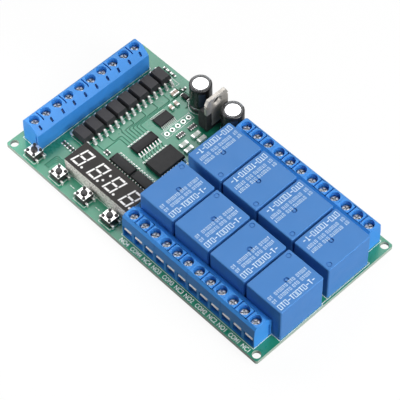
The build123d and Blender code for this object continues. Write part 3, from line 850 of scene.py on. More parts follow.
def model_guard():
    """One pole's wire guard: a flat tongue under the screw, curled down and out across the entry."""
    guard = block("guard", (-1.6 * MM, -6.95 * MM, 5.95 * MM), (1.6 * MM, -3.1 * MM, 6.25 * MM))
    fold = -6.7 * MM
    score(guard, (0, fold, 0), (0, 1, 0))
    pick(guard, "FACE", lambda face: face.normal.z < -0.9 and face.calc_center_median().y < fold)
    for move in ((0, 0, -0.35), (0, -0.1, -0.4), (0, -0.18, -0.4), (0, -0.26, -0.38), (0, -0.3, -0.34)):
        extrude(Vector(move) * MM)
    deselect()
    return soften(guard, 0.05 * MM, 2, 50)


def model_body(name, low, high, draft, edge):
    """A moulded chip body: a thin slab at its parting line, drawn out and narrowed up and down."""
    low = Vector(low)
    high = Vector(high)
    centre = (low + high) / 2
    line = 0.03 * MM
    body = block(name, (low.x, low.y, centre.z - line), (high.x, high.y, centre.z + line))
    rise = (high.z - low.z) / 2 - line
    narrower = (1 - 2 * draft / (high.x - low.x), 1 - 2 * draft / (high.y - low.y), 1)
    for side in (1, -1):
        pick(body, "FACE", facing(z=side))
        extrude((0, 0, side * rise))
        bpy.ops.transform.resize(value=narrower, center_override=centre + Vector((0, 0, side * rise)))
        deselect()
    return soften(body, edge, 3, 40)


def chip(node, low, high, draft, edge, mark, mark_size, material, name):
    """A chip body on its node's place, with a round mark pressed in at its first pin."""
    body = model_body(name, low, high, draft, edge)
    combine(body, round_post("cut", mark_size, high.z - 0.08 * MM, high.z + MM, *mark, 24))
    even_shading(smooth(body, 28))
    put(body, name, material, stands_for=(node,))


def model_solder_pad(size_x, size_y, height):
    """A fillet of solder round a lead's foot: a low block drawn in towards its top."""
    pad = block("solder", (-size_x / 2, -size_y / 2, 0), (size_x / 2, size_y / 2, height))
    pick(pad, "FACE", facing(z=1))
    bpy.ops.transform.resize(value=(0.62, 0.62, 1), center_override=(0, 0, height))
    deselect()
    return soften(pad, height * 0.45, 2, 20)


# Operators: each models one piece or one group of like pieces

class RELAYBOARD_OT_board(bpy.types.Operator):
    """Paint the circuit board and lay its tracks, print, labels, hole rings and solder joints"""

    bl_idname = "relay_board.board"
    bl_label = "Circuit board"

    def execute(self, context):
        sizes = context.scene.relay_board_sizes
        finishes = materials()
        paint_node("circuit_board", finishes["mask"])
        self.add_print(sizes, finishes)
        self.add_labels(finishes)
        self.add_tracks(sizes, finishes)
        self.add_hole_rings(finishes)
        self.add_joints(finishes)
        return {"FINISHED"}

    def add_print(self, sizes, finishes):
        """The outlines printed round the parts."""
        # Round the near, far and input terminals and the display
        lines = [
            rectangle(-5.1, -28.8, 56.25, -20.6),
            rectangle(-5.1, 21.6, 56.35, 29.8),
            rectangle(-58.1, -25.6, -49.6, 25.9),
            rectangle(-38.0, -24.7, -6.7, -14.1),
        ]
        for place in relay_places():
            x = place.translation.x / MM
            y = place.translation.y / MM
            lines.append(rectangle_round(x, y, 7.95, 9.75))
        for number in range(1, 5):
            centre = middle(f"button_plunger_{number}") / MM
            lines.append(rectangle_round(centre.x, centre.y, 2.75, 2.75))
        for number in range(1, 9):
            centre = middle(f"optocoupler_{number}") / MM
            lines.append(rectangle_round(centre.x, centre.y, 3.5, 2.42))
        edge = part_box("circuit_board")[1].y / MM - 0.2
        for low, high in solids("capacitor_cans"):
            centre = (low + high) / 2 / MM
            points = circle_points(centre.x, centre.y, 8.9)
            quarter = len(points) // 4
            from_top = points[quarter:] + points[:quarter]
            kept = [point for point in from_top if point[1] < edge]
            lines.append((kept, len(kept) == len(points)))
        for number in (3, 4):
            centre = middle(f"button_plunger_{number}") / MM
            y = centre.y + 0.2
            lines.append(([(centre.x - 7.4, y), (centre.x - 6.6, y)], False))
            lines.append(([(centre.x - 6.2, y), (centre.x - 5.4, y)], False))
        lines.append(([(59.6, -20.7), (59.6, 20.9)], False))
        lines.append(rectangle(-26.1, 8.8, -23.3, 21.8))
        lines.append(rectangle(-45.3, 25.5, -37.7, 28.2))
        outlines = strokes("print", lines, sizes.print_line, 0.015 * MM, BOARD_TOP)
        put(outlines, "board_print", finishes["ink"])

    def add_labels(self, finishes):
        """The generic contact labels along both rows of output terminals, and the input numbers."""
        words = []
        names = ("NO", "COM", "NC")
        near_centres = (-2.15, 3.4, 8.5)
        near_row = -30.25
        far_row = 30.45
        far_end = 56.02
        input_column = -59.2
        input_end = 25.55
        for block_index in range(4):
            for x, name in zip(near_centres, names):
                text = f"{name}{4 - block_index}"
                condense = 0.76 if name == "COM" else 0.84
                words.append(label(text, 1.6, x + block_index * BLOCK_STEP, near_row, 0, condense))
        for block_index in range(4):
            for pole, name in enumerate(names):
                x = far_end - (block_index * 3 + pole + 0.5) * POLE_STEP
                text = f"{name}{5 + block_index}"
                words.append(label(text, 1.0, x, far_row, 180))
        for index in range(10):
            y = input_end - (index + 0.5) * POLE_STEP
            words.append(label(str(index + 1), 1.3, input_column, y, -90))
        put(joined(words), "contact_labels", finishes["ink"])

    def add_tracks(self, sizes, finishes):
        """Copper tracks under the mask, in bundles that bend by half right angles."""
        lines = []
        row_step = 5.13
        for index in range(8):
            row = -9.9 + index * row_step
            target = -2.6 + index * LEAD_STEP
            column = -34.6 - index * 0.5 if index < 2 else -37.5 + index * 0.5
            bend = 0.4 if row < target else -0.4
            if index == 2:
                bend = -0.1
            lines.append(([(-38.6, row), (column - 0.4, row), (column, row + bend), (column, target - bend),
                           (column + 0.4, target), (-29.8, target)], False))
        for index in range(8):
            start = 6.3 - index * LEAD_STEP
            end = start - 0.5
            lines.append(([(-24.0, start), (-23.2, start), (-22.4, end), (-21.3, end)], False))
        button = middle("button_plunger_2") / MM
        for index in range(4):
            x = button.x - 5.3 - 0.6 * index
            y = button.y + 3.4 + 0.6 * index
            lines.append(([(x, button.y - 0.5), (x, y - 0.5), (x + 0.5, y), (button.x - 1.5, y)], False))
        for index in range(6):
            x = -29.0 + index * LEAD_STEP
            lines.append(([(x, -12.7), (x, -13.6)], False))
        for index in range(4):
            lines.append(([(-36.2, 27.2 - index * 0.6), (-30.5, 27.2 - index * 0.6),
                           (-28.3, 25.0 - index * 0.6), (-28.3, 22.3)], False))
        for index in range(4):
            y = 5.6 - index * LEAD_STEP
            lines.append(([(-10.9, y), (-9.0, y), (-7.8, y + 1.2), (-5.6, y + 1.2)], False))
        gaps = strokes("gaps", lines, sizes.track, 0.012 * MM, BOARD_TOP)
        put(gaps, "track_gaps", finishes["gap"])
        aside = 0.32
        beside = [([(x + aside, y + aside) for x, y in points], closed) for points, closed in lines]
        tracks = strokes("tracks", beside, sizes.track, 0.008 * MM, BOARD_TOP)
        put(tracks, "masked_tracks", finishes["track"])

    def add_hole_rings(self, finishes):
        """Tinned rings round the open header holes."""
        ring_model = round_post("ring", 1.9 * MM, -0.001 * MM, 0.05 * MM)
        combine(ring_model, round_post("cut", 1.02 * MM, -MM, MM))
        soften(ring_model, 0.015 * MM, 2, 40)
        places = [turned(-24.7 * MM, (10.2 + HOLE_STEP * index) * MM) for index in range(5)]
        put(copies(ring_model, places), "header_hole_rings", finishes["solder"])

    def add_joints(self, finishes):
        """A cone of solder round every pin under the board."""
        low = BOARD_BOTTOM
        pins = []
        for node in ("relay_pins", "terminal_clamps", "display_pins", "button_legs", "power_leads"):
            pins += groups(node, lambda spot: spot.z < 1.0 * MM)
        deselect()
        bpy.ops.mesh.primitive_cone_add(
            vertices=24, radius1=0.95 * MM, radius2=0.5 * MM, depth=0.9 * MM, location=(0, 0, 0)
        )
        cone = settle(bpy.context.object)
        bevel_edges(cone, at_level(0.45 * MM), 0.3 * MM, 4)
        smooth(cone, 60)
        flip = Matrix.Rotation(math.pi, 4, "X")
        places = [Matrix.Translation((x, y, low - 0.44 * MM)) @ flip for x, y in pins]
        put(copies(cone, places), "solder_joints", finishes["solder"])


class RELAYBOARD_OT_relays(bpy.types.Operator):
    """Model one relay and its print, and stand eight of them on the board"""

    bl_idname = "relay_board.relays"
    bl_label = "Relays"

    def execute(self, context):
        finishes = materials()
        model = model_relay(context.scene.relay_board_sizes)
        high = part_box("relay_case_1")[1]
        marks = relay_print(high.z - BOARD_TOP)
        for number, place in enumerate(relay_places(), 1):
            node = f"relay_case_{number}"
            case = placed_copy(model, place)
            put(case, f"relay_{number}", finishes["relay"], stands_for=(node,))
            text = placed_copy(marks, place)
            put(text, f"relay_print_{number}", finishes["relay_ink"])
        bpy.data.objects.remove(model)
        bpy.data.objects.remove(marks)
        paint_node("relay_bases", finishes["relay_floor"])
        paint_node("relay_pins", finishes["lead"])
        return {"FINISHED"}


class RELAYBOARD_OT_terminals(bpy.types.Operator):
    """Model a two-pole and a three-pole terminal block and a screw, and place them all"""

    bl_idname = "relay_board.terminals"
    bl_label = "Screw terminals"

    def execute(self, context):
        sizes = context.scene.relay_board_sizes
        finishes = materials()
        models = {2: model_terminal(2, True, sizes), 3: model_terminal(3, False, sizes)}
        for node, poles, place in terminal_rows():
            housing = placed_copy(models[poles], place)
            put(housing, f"{node}_housing", finishes["terminal"], stands_for=(node,))
        for model in models.values():
            bpy.data.objects.remove(model)
        screw_axis = Matrix.Translation((0, -SCREW_DEPTH, 0))
        places = []
        for index, place in enumerate(pole_places()):
            places.append(place @ screw_axis @ Matrix.Rotation(index * 2.4, 4, "Z"))
        screws = copies(model_screw(sizes), places)
        put(screws, "screw_heads", finishes["screw"], stands_for=("terminal_screws",))
        guards = copies(model_guard(), pole_places())
        put(guards, "wire_guards", finishes["leaf"], stands_for=("terminal_leaves",))
        paint_node("terminal_clamps", finishes["leaf"])
        return {"FINISHED"}


class RELAYBOARD_OT_chips(bpy.types.Operator):
    """Model the optocouplers and chips with their leads and solder"""

    bl_idname = "relay_board.chips"
    bl_label = "Optocouplers and chips"

    def execute(self, context):
        sizes = context.scene.relay_board_sizes
        finishes = materials()
        edge = sizes.chip_edge
        for number in range(1, 9):
            node = f"optocoupler_{number}"
            low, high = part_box(node)
            mark = (low.x + 1.25 * MM, low.y + 1.25 * MM)
            chip(node, low, high, 0.45 * MM, edge, mark, 0.8 * MM, finishes["opto"], f"opto_body_{number}")
        for node, name in (("microcontroller", "controller_body"), ("relay_driver", "driver_body")):
            low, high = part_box(node)
            mark = (low.x + 1.0 * MM, high.y - 1.0 * MM)
            chip(node, low, high, 0.2 * MM, edge, mark, 0.9 * MM, finishes["epoxy"], name)
        bodies = []
        for x, y, along_y in ((-26.85, 1.8, True), (-25.15, -9.55, False), (-14.85, -9.55, False)):
            half_x, half_y = (1.95, 4.95) if along_y else (4.95, 1.95)
            low = Vector(((x - half_x) * MM, (y - half_y) * MM, BOARD_TOP + 0.15 * MM))
            high = Vector(((x + half_x) * MM, (y + half_y) * MM, BOARD_TOP + 1.6 * MM))
            body = model_body("register", low, high, 0.2 * MM, edge)
            mark = (low.x + 0.9 * MM, high.y - 0.9 * MM if along_y else low.y + 0.9 * MM)
            combine(body, round_post("cut", 0.8 * MM, high.z - 0.08 * MM, high.z + MM, *mark, 24))
            bodies.append(smooth(body, 28))
        registers = joined(bodies)
        put(registers, "register_bodies", finishes["epoxy"], stands_for=("shift_registers",))
        for node in ("optocoupler_leads", "chip_leads"):
            leads = finished_copy(node, sizes.lead_edge)
            put(leads, f"{node}_finished", finishes["lead"], stands_for=(node,))
        self.add_solder(finishes)
        return {"FINISHED"}

    def add_solder(self, finishes):
        """A fillet of solder at each foot."""
        feet = groups("optocoupler_leads", lambda spot: spot.z < BOARD_TOP + 0.01 * MM, 1.25)
        pad = model_solder_pad(1.6 * MM, 1.25 * MM, 0.3 * MM)
        put(copies(pad, [turned(x, y) for x, y in feet]), "opto_solder", finishes["solder"])
        feet = groups("chip_leads", lambda spot: spot.z < BOARD_TOP + 0.01 * MM, 0.3)
        wide = model_solder_pad(0.75 * MM, 0.38 * MM, 0.1 * MM)
        fine = model_solder_pad(0.8 * MM, 0.24 * MM, 0.08 * MM)
        controller = middle("microcontroller")
        wide_places = []
        fine_places = []
        for x, y in feet:
            place = turned(x, y, self.lead_direction(x, y)) @ Matrix.Translation((0.1 * MM, 0, 0))
            beside = abs(x - controller.x) < 4 * MM and abs(y - controller.y) < 4 * MM
            (fine_places if beside else wide_places).append(place)
        put(copies(wide, wide_places), "chip_solder", finishes["solder"])
        put(copies(fine, fine_places), "controller_solder", finishes["solder"])

    def lead_direction(self, x, y):
        """Which way, in degrees, a chip's foot points away from its body."""
        bodies = solids("shift_registers") + solids("relay_driver") + solids("microcontroller")
        reach = 2 * MM
        for low, high in bodies:
            if low.y < y < high.y and low.x - reach < x < high.x + reach:
                return 0 if x > high.x else 180
            if low.x < x < high.x and low.y - reach < y < high.y + reach:
                return 90 if y > high.y else -90
        return 0


class RELAYBOARD_OT_display(bpy.types.Operator):
    """Model the four-digit display"""

    bl_idname = "relay_board.display"
    bl_label = "Display"

    def execute(self, context):
        finishes = materials()
        shell = finished_copy("display_housing", 0.2 * MM, 3)
        put(shell, "display_shell", finishes["housing"], stands_for=("display_housing",))
        film = finished_copy("display_face", 0.08 * MM, 2)
        put(film, "display_film", finishes["display"], stands_for=("display_face",))
        digits = self.model_digits()
        resin = finishes["segment"]
        put(digits, "display_digits", resin, stands_for=("display_segments",))
        paint_node("display_pins", finishes["lead"])
        return {"FINISHED"}

    def model_digits(self):
        """Four leaning digits with full-height posts and bars between them, their points and the colon."""
        low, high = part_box("display_face")
        centre = (low + high) / 2
        level = high.z - 0.01 * MM
        thick = 0.06 * MM
        spans = [(-1.14, y - 0.38, 1.14, y + 0.38) for y in (-3.08, 0, 3.08)]
        for x in (-1.73, 1.73):
            spans.append((x - 0.33, -3.46, x + 0.33, -0.2))
            spans.append((x - 0.33, 0.2, x + 0.33, 3.46))
        segments = []
        for x0, y0, x1, y1 in spans:
            segment = block("segment", (x0 * MM, y0 * MM, 0), (x1 * MM, y1 * MM, thick))
            bevel_edges(segment, upright, 0.09 * MM, 2)
            segments.append(segment)
        digit = joined(segments)
        lean = math.tan(math.radians(10))
        digit.data.transform(Matrix(((1, lean, 0, 0), (0, 1, 0, 0), (0, 0, 1, 0), (0, 0, 0, 1))))
        x0 = centre.x + 0.6 * MM
        y0 = centre.y - 0.35 * MM
        digit_step = 7.79
        starts = [x0 + (index - 1.5) * digit_step * MM for index in range(4)]
        digits = copies(digit, [Matrix.Translation((x, y0, level)) for x in starts])
        dot = round_post("dot", 0.95 * MM, 0, thick, sides=32)
        spots = [Matrix.Translation((x + 2.55 * MM, y0 - 2.95 * MM, level)) for x in starts]
        for rise in (-1.45 * MM, 1.45 * MM):
            spots.append(Matrix.Translation((x0 + lean * rise, y0 + rise, level)))
        return soften(joined([digits, copies(dot, spots)]), 0.02 * MM, 2, 40)


class RELAYBOARD_OT_buttons(bpy.types.Operator):
    """Model one push-button and set four of them along the near edge"""

    bl_idname = "relay_board.buttons"
    bl_label = "Push-buttons"

    def execute(self, context):
        sizes = context.scene.relay_board_sizes
        finishes = materials()
        spots = []
        for number in range(1, 5):
            centre = middle(f"button_plunger_{number}")
            spots.append(turned(centre.x, centre.y))
        half = 2.25 * MM
        base_top = 2.75 * MM
        base = block("base", (-half, -half, 0), (half, half, base_top))
        bevel_edges(base, upright, 0.35 * MM, 3)
        combine(base, round_post("cut", 3.3 * MM, 1.25 * MM, 4 * MM))
        soften(base, 0.08 * MM, 2, 50)
        rivet_top = 3.4 * MM
        rivet = round_post("rivet", sizes.rivet, 2.6 * MM, rivet_top, sides=32)
        bevel_edges(rivet, at_level(rivet_top), 0.15 * MM, 3)
        smooth(rivet)
        aside = 1.53
        corners = [(x, y) for x in (-aside, aside) for y in (-aside, aside)]
        rivets = copies(rivet, [Matrix.Translation((x * MM, y * MM, 0)) for x, y in corners])
        bases = copies(joined([base, rivets]), spots)
        put(bases, "button_bodies", finishes["button"], stands_for=("button_bases",))
        cover = block("cover", (-half, -half, base_top), (half, half, 3.0 * MM))
        combine(cover, round_post("cut", 2.5 * MM, 0, 5 * MM))
        for x, y in corners:
            combine(cover, round_post("cut", sizes.rivet + 0.15 * MM, 0, 5 * MM, x * MM, y * MM, 32))
        soften(cover, 0.03 * MM, 2, 45)
        plates = copies(cover, spots)
        put(plates, "button_plates", finishes["cover"], stands_for=("button_covers",))
        plunger_top = 3.8 * MM
        plunger = round_post("plunger", 2.2 * MM, 2.2 * MM, plunger_top)
        bevel_edges(plunger, at_level(plunger_top), 0.2 * MM, 4)
        flange = round_post("flange", 3.0 * MM, 2.24 * MM, 2.72 * MM)
        combine(plunger, flange, "UNION")
        smooth(plunger)
        for number, spot in enumerate(spots, 1):
            put(
                placed_copy(plunger, spot),
                f"plunger_{number}",
                finishes["button"],
                body=f"button_press_{number}",
                stands_for=(f"button_plunger_{number}",),
            )
        bpy.data.objects.remove(plunger)
        legs = finished_copy("button_legs", 0.06 * MM)
        put(legs, "button_legs_finished", finishes["lead"], stands_for=("button_legs",))
        paint_node("button_domes", finishes["leaf"])
        return {"FINISHED"}


class RELAYBOARD_OT_power(bpy.types.Operator):
    """Model the two capacitors and the regulator"""

    bl_idname = "relay_board.power"
    bl_label = "Capacitors and regulator"

    def execute(self, context):
        finishes = materials()
        middles = [(low + high) / 2 for low, high in solids("capacitor_cans")]
        spots = [turned(centre.x, centre.y) for centre in middles]
        sleeve = self.model_sleeve(finishes)
        for number, spot in enumerate(spots, 1):
            piece = placed_copy(sleeve, spot)
            nodes = ("capacitor_sleeves",) if number == 1 else ()
            put(piece, f"sleeve_{number}", finishes["sleeve"], stands_for=nodes)
        bpy.data.objects.remove(sleeve)
        can = round_post("can", 7.5 * MM, 0.05 * MM, 11.7 * MM, sides=64)
        for half_x, half_y in ((2.3, 0.11), (0.11, 2.3)):
            low = (-half_x * MM, -half_y * MM, 11.58 * MM)
            high = (half_x * MM, half_y * MM, 13 * MM)
            combine(can, block("cut", low, high))
        soften(can, 0.04 * MM, 2, 50)
        tops = copies(can, spots)
        put(tops, "capacitor_tops", finishes["can"], stands_for=("capacitor_cans",))
        tab, mould = self.model_tab()
        put(tab, "regulator_plate", finishes["tab"], stands_for=("regulator_tab",))
        body = finished_copy("regulator_body", 0.18 * MM, 3)
        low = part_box("regulator_body")[0]
        mark = round_post("cut", 2.2 * MM, -0.1 * MM, 0.1 * MM)
        turn = Matrix.Translation((low.x, middle("regulator_body").y, low.z + 3.4 * MM))
        mark.data.transform(turn @ Matrix.Rotation(math.pi / 2, 4, "Y"))
        combine(body, mark)
        smooth(body, 28)
        put(body, "regulator_case", finishes["epoxy"], stands_for=("regulator_body",))
        put(mould, "regulator_frame", finishes["epoxy"])
        self.add_rim_ticks(spots, finishes)
        paint_node("power_leads", finishes["lead"])
        return {"FINISHED"}

    def add_rim_ticks(self, spots, finishes):
        """The ends of the sleeves' print, which show as pale ticks where the sleeves fold over the cans."""
        ticks = []
        for start, count in ((70, 14), (-75, 5)):
            for index in range(count):
                tick = block("tick", (3.15 * MM, -0.07 * MM, 11.88 * MM), (3.5 * MM, 0.07 * MM, 11.93 * MM))
                turn = math.radians(start + index * 9)
                ticks.append(placed_copy(tick, Matrix.Rotation(turn, 4, "Z")))
                bpy.data.objects.remove(tick)
        marks = copies(joined(ticks), spots)
        put(marks, "sleeve_ticks", finishes["stripe"])

    def model_tab(self):
        """The regulator's tab, narrower where the moulding wraps it, and the moulding beside it."""
        low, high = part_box("regulator_tab")
        ledge = low.z + 8.6 * MM
        edge = 2.2 * MM
        beyond = Vector((1, 1, 1)) * MM
        tongue_low = Vector((low.x - MM, low.y + edge, low.z + 1.6 * MM))
        tongue_high = Vector((high.x + MM, high.y - edge, ledge + MM))
        tab = finished_copy("regulator_tab", 0.12 * MM)
        outside = block("cut", low - beyond, (high.x + MM, high.y + MM, ledge))
        combine(outside, block("cut", tongue_low, tongue_high))
        combine(tab, outside)
        for side in (low.y, high.y):
            notch_low = (low.x - MM, side - 0.5 * MM, ledge + 3.7 * MM)
            notch_high = (high.x + MM, side + 0.5 * MM, ledge + 4.7 * MM)
            combine(tab, block("cut", notch_low, notch_high))
        mould = block("mould", low, (high.x - 0.03 * MM, high.y, ledge))
        combine(mould, block("cut", tongue_low, tongue_high))
        return smooth(tab), soften(mould, 0.1 * MM, 2, 50)

    def model_sleeve(self, finishes):
        """A capacitor's sleeve: rolled in at the rim, nipped over the can's bead, with a printed stripe."""
        rim = 11.9 * MM
        sleeve = round_post("sleeve", 8 * MM, 0.05 * MM, rim, sides=72)
        # In millimetres: the nip over the bead, then the two ends of the panel
        panel_low = 3.6
        panel_high = 10.2
        for level in (1.5, 1.8, 2.1, 2.4, panel_low, panel_high):
            score(sleeve, (0, 0, level * MM), (0, 0, 1))
        pick(sleeve, "EDGE", lambda edge: all(1.7 * MM < vertex.co.z < 2.2 * MM for vertex in edge.verts))
        bpy.ops.transform.resize(value=(0.93, 0.93, 1), center_override=(0, 0, 1.95 * MM))
        deselect()
        bevel_edges(sleeve, at_level(rim), 0.55 * MM, 5)
        pick(
            sleeve,
            "FACE",
            lambda face: face.normal.z > 0.95 and face.calc_center_median().length < 11.95 * MM,
        )
        bpy.ops.mesh.inset(thickness=0.68 * MM)
        extrude((0, 0, -0.35 * MM))
        deselect()
        sleeve.data.materials.append(finishes["sleeve"])
        sleeve.data.materials.append(finishes["stripe"])
        sleeve.data.materials.append(finishes["panel"])
        # In degrees: where the stripe and the panel are, and how far each reaches to both sides
        stripe_at = 86
        panel_at = -36
        half_width = 18
        for face in sleeve.data.polygons:
            direction = math.degrees(math.atan2(face.center.y, face.center.x))
            outer = math.hypot(face.center.x, face.center.y) > 2.9 * MM
            inside_panel = panel_low * MM < face.center.z < panel_high * MM
            if outer and abs(direction - stripe_at) < half_width and abs(face.normal.z) < 0.98:
                face.material_index = 1
            if outer and abs(direction - panel_at) < half_width and inside_panel:
                face.material_index = 2
        return smooth(sleeve, 40)


class RELAYBOARD_OT_small_parts(bpy.types.Operator):
    """Model the chip resistors, chip capacitors and the diode"""

    bl_idname = "relay_board.small_parts"
    bl_label = "Small parts"

    def execute(self, context):
        finishes = materials()
        for node, name, key, slot in (
            ("chip_resistors", "resistor_bodies", "resistor", "resistor_dark"),
            ("chip_capacitors", "ceramic_bodies", "cream", "capacitor_cream"),
        ):
            bodies = finished_copy(node, 0.06 * MM)
            if key == "cream":
                self.paint_pale(bodies, finishes)
            put(bodies, name, finishes[key], stands_for=(node,))
        self.add_caps(finishes)
        diode = finished_copy("protection_diode", 0.08 * MM)
        put(diode, "diode_body", finishes["epoxy"], stands_for=("protection_diode",))
        return {"FINISHED"}

    def paint_pale(self, bodies, finishes):
        """Gives the four taller parts beside the driver their own pale finish."""
        bodies.data.materials.clear()
        bodies.data.materials.append(finishes["cream"])
        bodies.data.materials.append(finishes["pale"])
        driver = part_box("relay_driver")
        for face in bodies.data.polygons:
            if face.center.x > driver[0].x:
                face.material_index = 1

    def add_caps(self, finishes):
        """The tinned ends of the chip parts, each standing in its own solder."""
        caps = []
        for node in ("chip_resistors", "chip_capacitors"):
            for low, high in solids(node):
                is_array = node == "chip_resistors" and (high - low).y > 3 * MM
                caps += self.array_caps(low, high) if is_array else self.end_caps(low, high)
        put(joined(caps), "chip_end_caps", finishes["solder"])

    def array_caps(self, low, high):
        """Four small caps along each long side of a resistor array."""
        caps = []
        centre = (low + high) / 2
        for step in range(4):
            y = centre.y + (step - 1.5) * 0.8 * MM
            for x, out in ((low.x, -1), (high.x, 1)):
                near = x - out * 0.3 * MM
                far = x + out * 0.12 * MM
                start = (min(near, far), y - 0.24 * MM, low.z)
                end = (max(near, far), y + 0.24 * MM, high.z + 0.015 * MM)
                caps.append(soften(block("cap", start, end), 0.05 * MM, 2, 40))
        return caps

    def end_caps(self, low, high):
        """Two caps over the ends of one chip part."""
        span = high - low
        along_y = span.y > span.x
        long_side = span.y if along_y else span.x
        cap = 0.2 * long_side
        proud = 0.015 * MM
        ends = []
        for side in (0, 1):
            start = low.copy()
            end = high.copy()
            axis = 1 if along_y else 0
            if side:
                start[axis] = high[axis] - cap
                end[axis] = high[axis] + 0.12 * MM
            else:
                end[axis] = low[axis] + cap
                start[axis] = low[axis] - 0.12 * MM
            across = 1 - axis
            start[across] -= proud
            end[across] += proud
            end.z += proud
            ends.append(soften(block("cap", start, end), 0.06 * MM, 2, 40))
        return ends


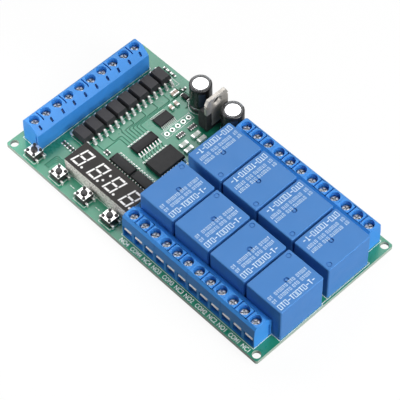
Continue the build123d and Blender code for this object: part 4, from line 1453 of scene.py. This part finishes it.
class RELAYBOARD_OT_stage(bpy.types.Operator):
    """Add the pale floor, the soft lights and the camera at the photograph's angle"""

    bl_idname = "relay_board.stage"
    bl_label = "Stage, lights and camera"

    def execute(self, context):
        self.add_camera(context)
        self.add_floor()
        self.add_world(context)
        self.add_softbox("Overhead softbox", (-0.59, 0.479, 0.649), distance=1.19, size=0.9, power=7.0)
        self.add_softbox("Key softbox", (0.62, 0.06, 0.78), distance=0.5, size=0.3, power=1.5)
        self.add_softbox("Side softbox", (0.94, 0.2, 0.28), distance=0.95, size=0.45, power=6.0)
        self.add_fill()
        context.scene.view_settings.view_transform = "Standard"
        return {"FINISHED"}

    def add_camera(self, context):
        """The camera, aimed from the solved azimuth, elevation and roll."""
        target = Vector((3.025, -0.877, 3.4)) * MM
        azimuth = math.radians(47.468)
        elevation = math.radians(54.651)
        roll = math.radians(-1.666)
        distance = 625.07
        back = Vector((
            math.sin(azimuth) * math.cos(elevation),
            -math.cos(azimuth) * math.cos(elevation),
            math.sin(elevation),
        ))
        level = Vector((math.cos(azimuth), math.sin(azimuth), 0))
        rise = back.cross(level)
        right = math.cos(roll) * level + math.sin(roll) * rise
        up = -math.sin(roll) * level + math.cos(roll) * rise
        deselect()
        bpy.ops.object.camera_add()
        camera = bpy.context.object
        camera.name = "Camera"
        camera.data.sensor_width = 36
        camera.data.lens = 169.49
        turn = Matrix((right, up, back)).transposed()
        camera.matrix_world = Matrix.LocRotScale(target + back * distance * MM, turn, None)
        context.scene.camera = camera

    def add_floor(self):
        """A wide pale floor that looks white to the camera and keeps the board's shadow."""
        deselect()
        bpy.ops.mesh.primitive_plane_add(size=6, location=(0, 0, -0.02 * MM))
        floor = settle(bpy.context.object)
        floor.name = "Floor"
        material = bpy.data.materials.new("Pale floor")
        material.use_nodes = True
        nodes = material.node_tree.nodes
        nodes.remove(nodes["Principled BSDF"])
        path = add_node(material, "ShaderNodeLightPath")
        gloss = add_node(material, "ShaderNodeMath", {"operation": "MULTIPLY", 1: 0.45},
                         {0: path.outputs["Is Glossy Ray"]})
        seen = add_node(material, "ShaderNodeMath", {"operation": "MAXIMUM"},
                        {0: path.outputs["Is Camera Ray"], 1: gloss.outputs[0]})
        seen = add_node(material, "ShaderNodeMath", {"operation": "MAXIMUM"},
                        {0: seen.outputs[0], 1: path.outputs["Is Transmission Ray"]})
        share = add_node(
            material, "ShaderNodeMath", {"operation": "MULTIPLY", 1: 0.9}, {0: seen.outputs[0]}
        )
        pale = add_node(
            material,
            "ShaderNodeMix",
            {"data_type": "RGBA", 6: linear("#6A6A6A"), 7: linear("#EDEDED")},
            {0: path.outputs["Is Camera Ray"]},
        )
        matt = add_node(material, "ShaderNodeBsdfDiffuse", None, {"Color": pale.outputs[2]})
        white = add_node(material, "ShaderNodeEmission", {"Color": (1, 1, 1, 1), "Strength": 1.02})
        mix = add_node(material, "ShaderNodeMixShader", None,
                       {0: share.outputs[0], 1: matt.outputs[0], 2: white.outputs[0]})
        material.node_tree.links.new(mix.outputs[0], nodes["Material Output"].inputs["Surface"])
        floor.data.materials.append(material)

    def add_world(self, context):
        """A dim room that looks white to the camera and in reflections."""
        world = bpy.data.worlds.new("Studio")
        context.scene.world = world
        world.use_nodes = True
        nodes = world.node_tree.nodes
        nodes.clear()
        path = add_node(world, "ShaderNodeLightPath")
        seen = add_node(world, "ShaderNodeMath", {"operation": "MAXIMUM"},
                        {0: path.outputs["Is Camera Ray"], 1: path.outputs["Is Glossy Ray"]})
        seen = add_node(world, "ShaderNodeMath", {"operation": "MAXIMUM"},
                        {0: seen.outputs[0], 1: path.outputs["Is Transmission Ray"]})
        strength = add_node(
            world, "ShaderNodeMapRange", {"To Min": 0.04, "To Max": 1.02}, {"Value": seen.outputs[0]}
        )
        light = add_node(
            world, "ShaderNodeBackground", {"Color": (1, 1, 1, 1)}, {"Strength": strength.outputs[0]}
        )
        output = add_node(world, "ShaderNodeOutputWorld")
        world.node_tree.links.new(light.outputs[0], output.inputs["Surface"])

    def add_fill(self):
        """A small soft lamp low by the display, which lights its front and fades along the board."""
        spot = Vector((-78, -72, 38)) * MM
        aim = Vector((-22, -24, 6)) * MM
        deselect()
        bpy.ops.object.light_add(type="AREA", location=spot)
        lamp = bpy.context.object
        lamp.name = "Front fill"
        lamp.rotation_euler = (spot - aim).to_track_quat("Z", "Y").to_euler()
        lamp.data.size = 0.06
        lamp.data.energy = 0.055
        lamp.visible_camera = False

    def add_softbox(self, name, direction, distance, size, power):
        """A square area lamp that looks at the middle of the board."""
        direction = Vector(direction).normalized()
        deselect()
        bpy.ops.object.light_add(type="AREA", location=direction * distance)
        lamp = bpy.context.object
        lamp.name = name
        lamp.rotation_euler = direction.to_track_quat("Z", "Y").to_euler()
        lamp.data.shape = "SQUARE"
        lamp.data.size = size
        lamp.data.energy = power


class RELAYBOARD_PT_panel(bpy.types.Panel):
    """Lists the module's pieces, colours and sizes"""

    bl_idname = "RELAYBOARD_PT_panel"
    bl_label = "Relay module board"
    bl_space_type = "VIEW_3D"
    bl_region_type = "UI"
    bl_category = "Relay board"

    def draw(self, context):
        for operator in PIECES:
            self.layout.operator(operator.bl_idname)
        for group in (context.scene.relay_board_colours, context.scene.relay_board_sizes):
            box = self.layout.box()
            for name in group.__annotations__:
                box.prop(group, name)


PIECES = (
    RELAYBOARD_OT_stage,
    RELAYBOARD_OT_board,
    RELAYBOARD_OT_relays,
    RELAYBOARD_OT_terminals,
    RELAYBOARD_OT_chips,
    RELAYBOARD_OT_display,
    RELAYBOARD_OT_buttons,
    RELAYBOARD_OT_power,
    RELAYBOARD_OT_small_parts,
)
CLASSES = (RelayBoardColours, RelayBoardSizes, *PIECES, RELAYBOARD_PT_panel)


def register():
    for entry in CLASSES:
        bpy.utils.register_class(entry)
    bpy.types.Scene.relay_board_colours = PointerProperty(type=RelayBoardColours)
    bpy.types.Scene.relay_board_sizes = PointerProperty(type=RelayBoardSizes)


def unregister():
    del bpy.types.Scene.relay_board_colours
    del bpy.types.Scene.relay_board_sizes
    for entry in reversed(CLASSES):
        bpy.utils.unregister_class(entry)


def main():
    register()
    bpy.ops.relay_board.stage()
    bpy.ops.relay_board.board()
    bpy.ops.relay_board.relays()
    bpy.ops.relay_board.terminals()
    bpy.ops.relay_board.chips()
    bpy.ops.relay_board.display()
    bpy.ops.relay_board.buttons()
    bpy.ops.relay_board.power()
    bpy.ops.relay_board.small_parts()
    deselect()


if __name__ == "__main__":
    main()
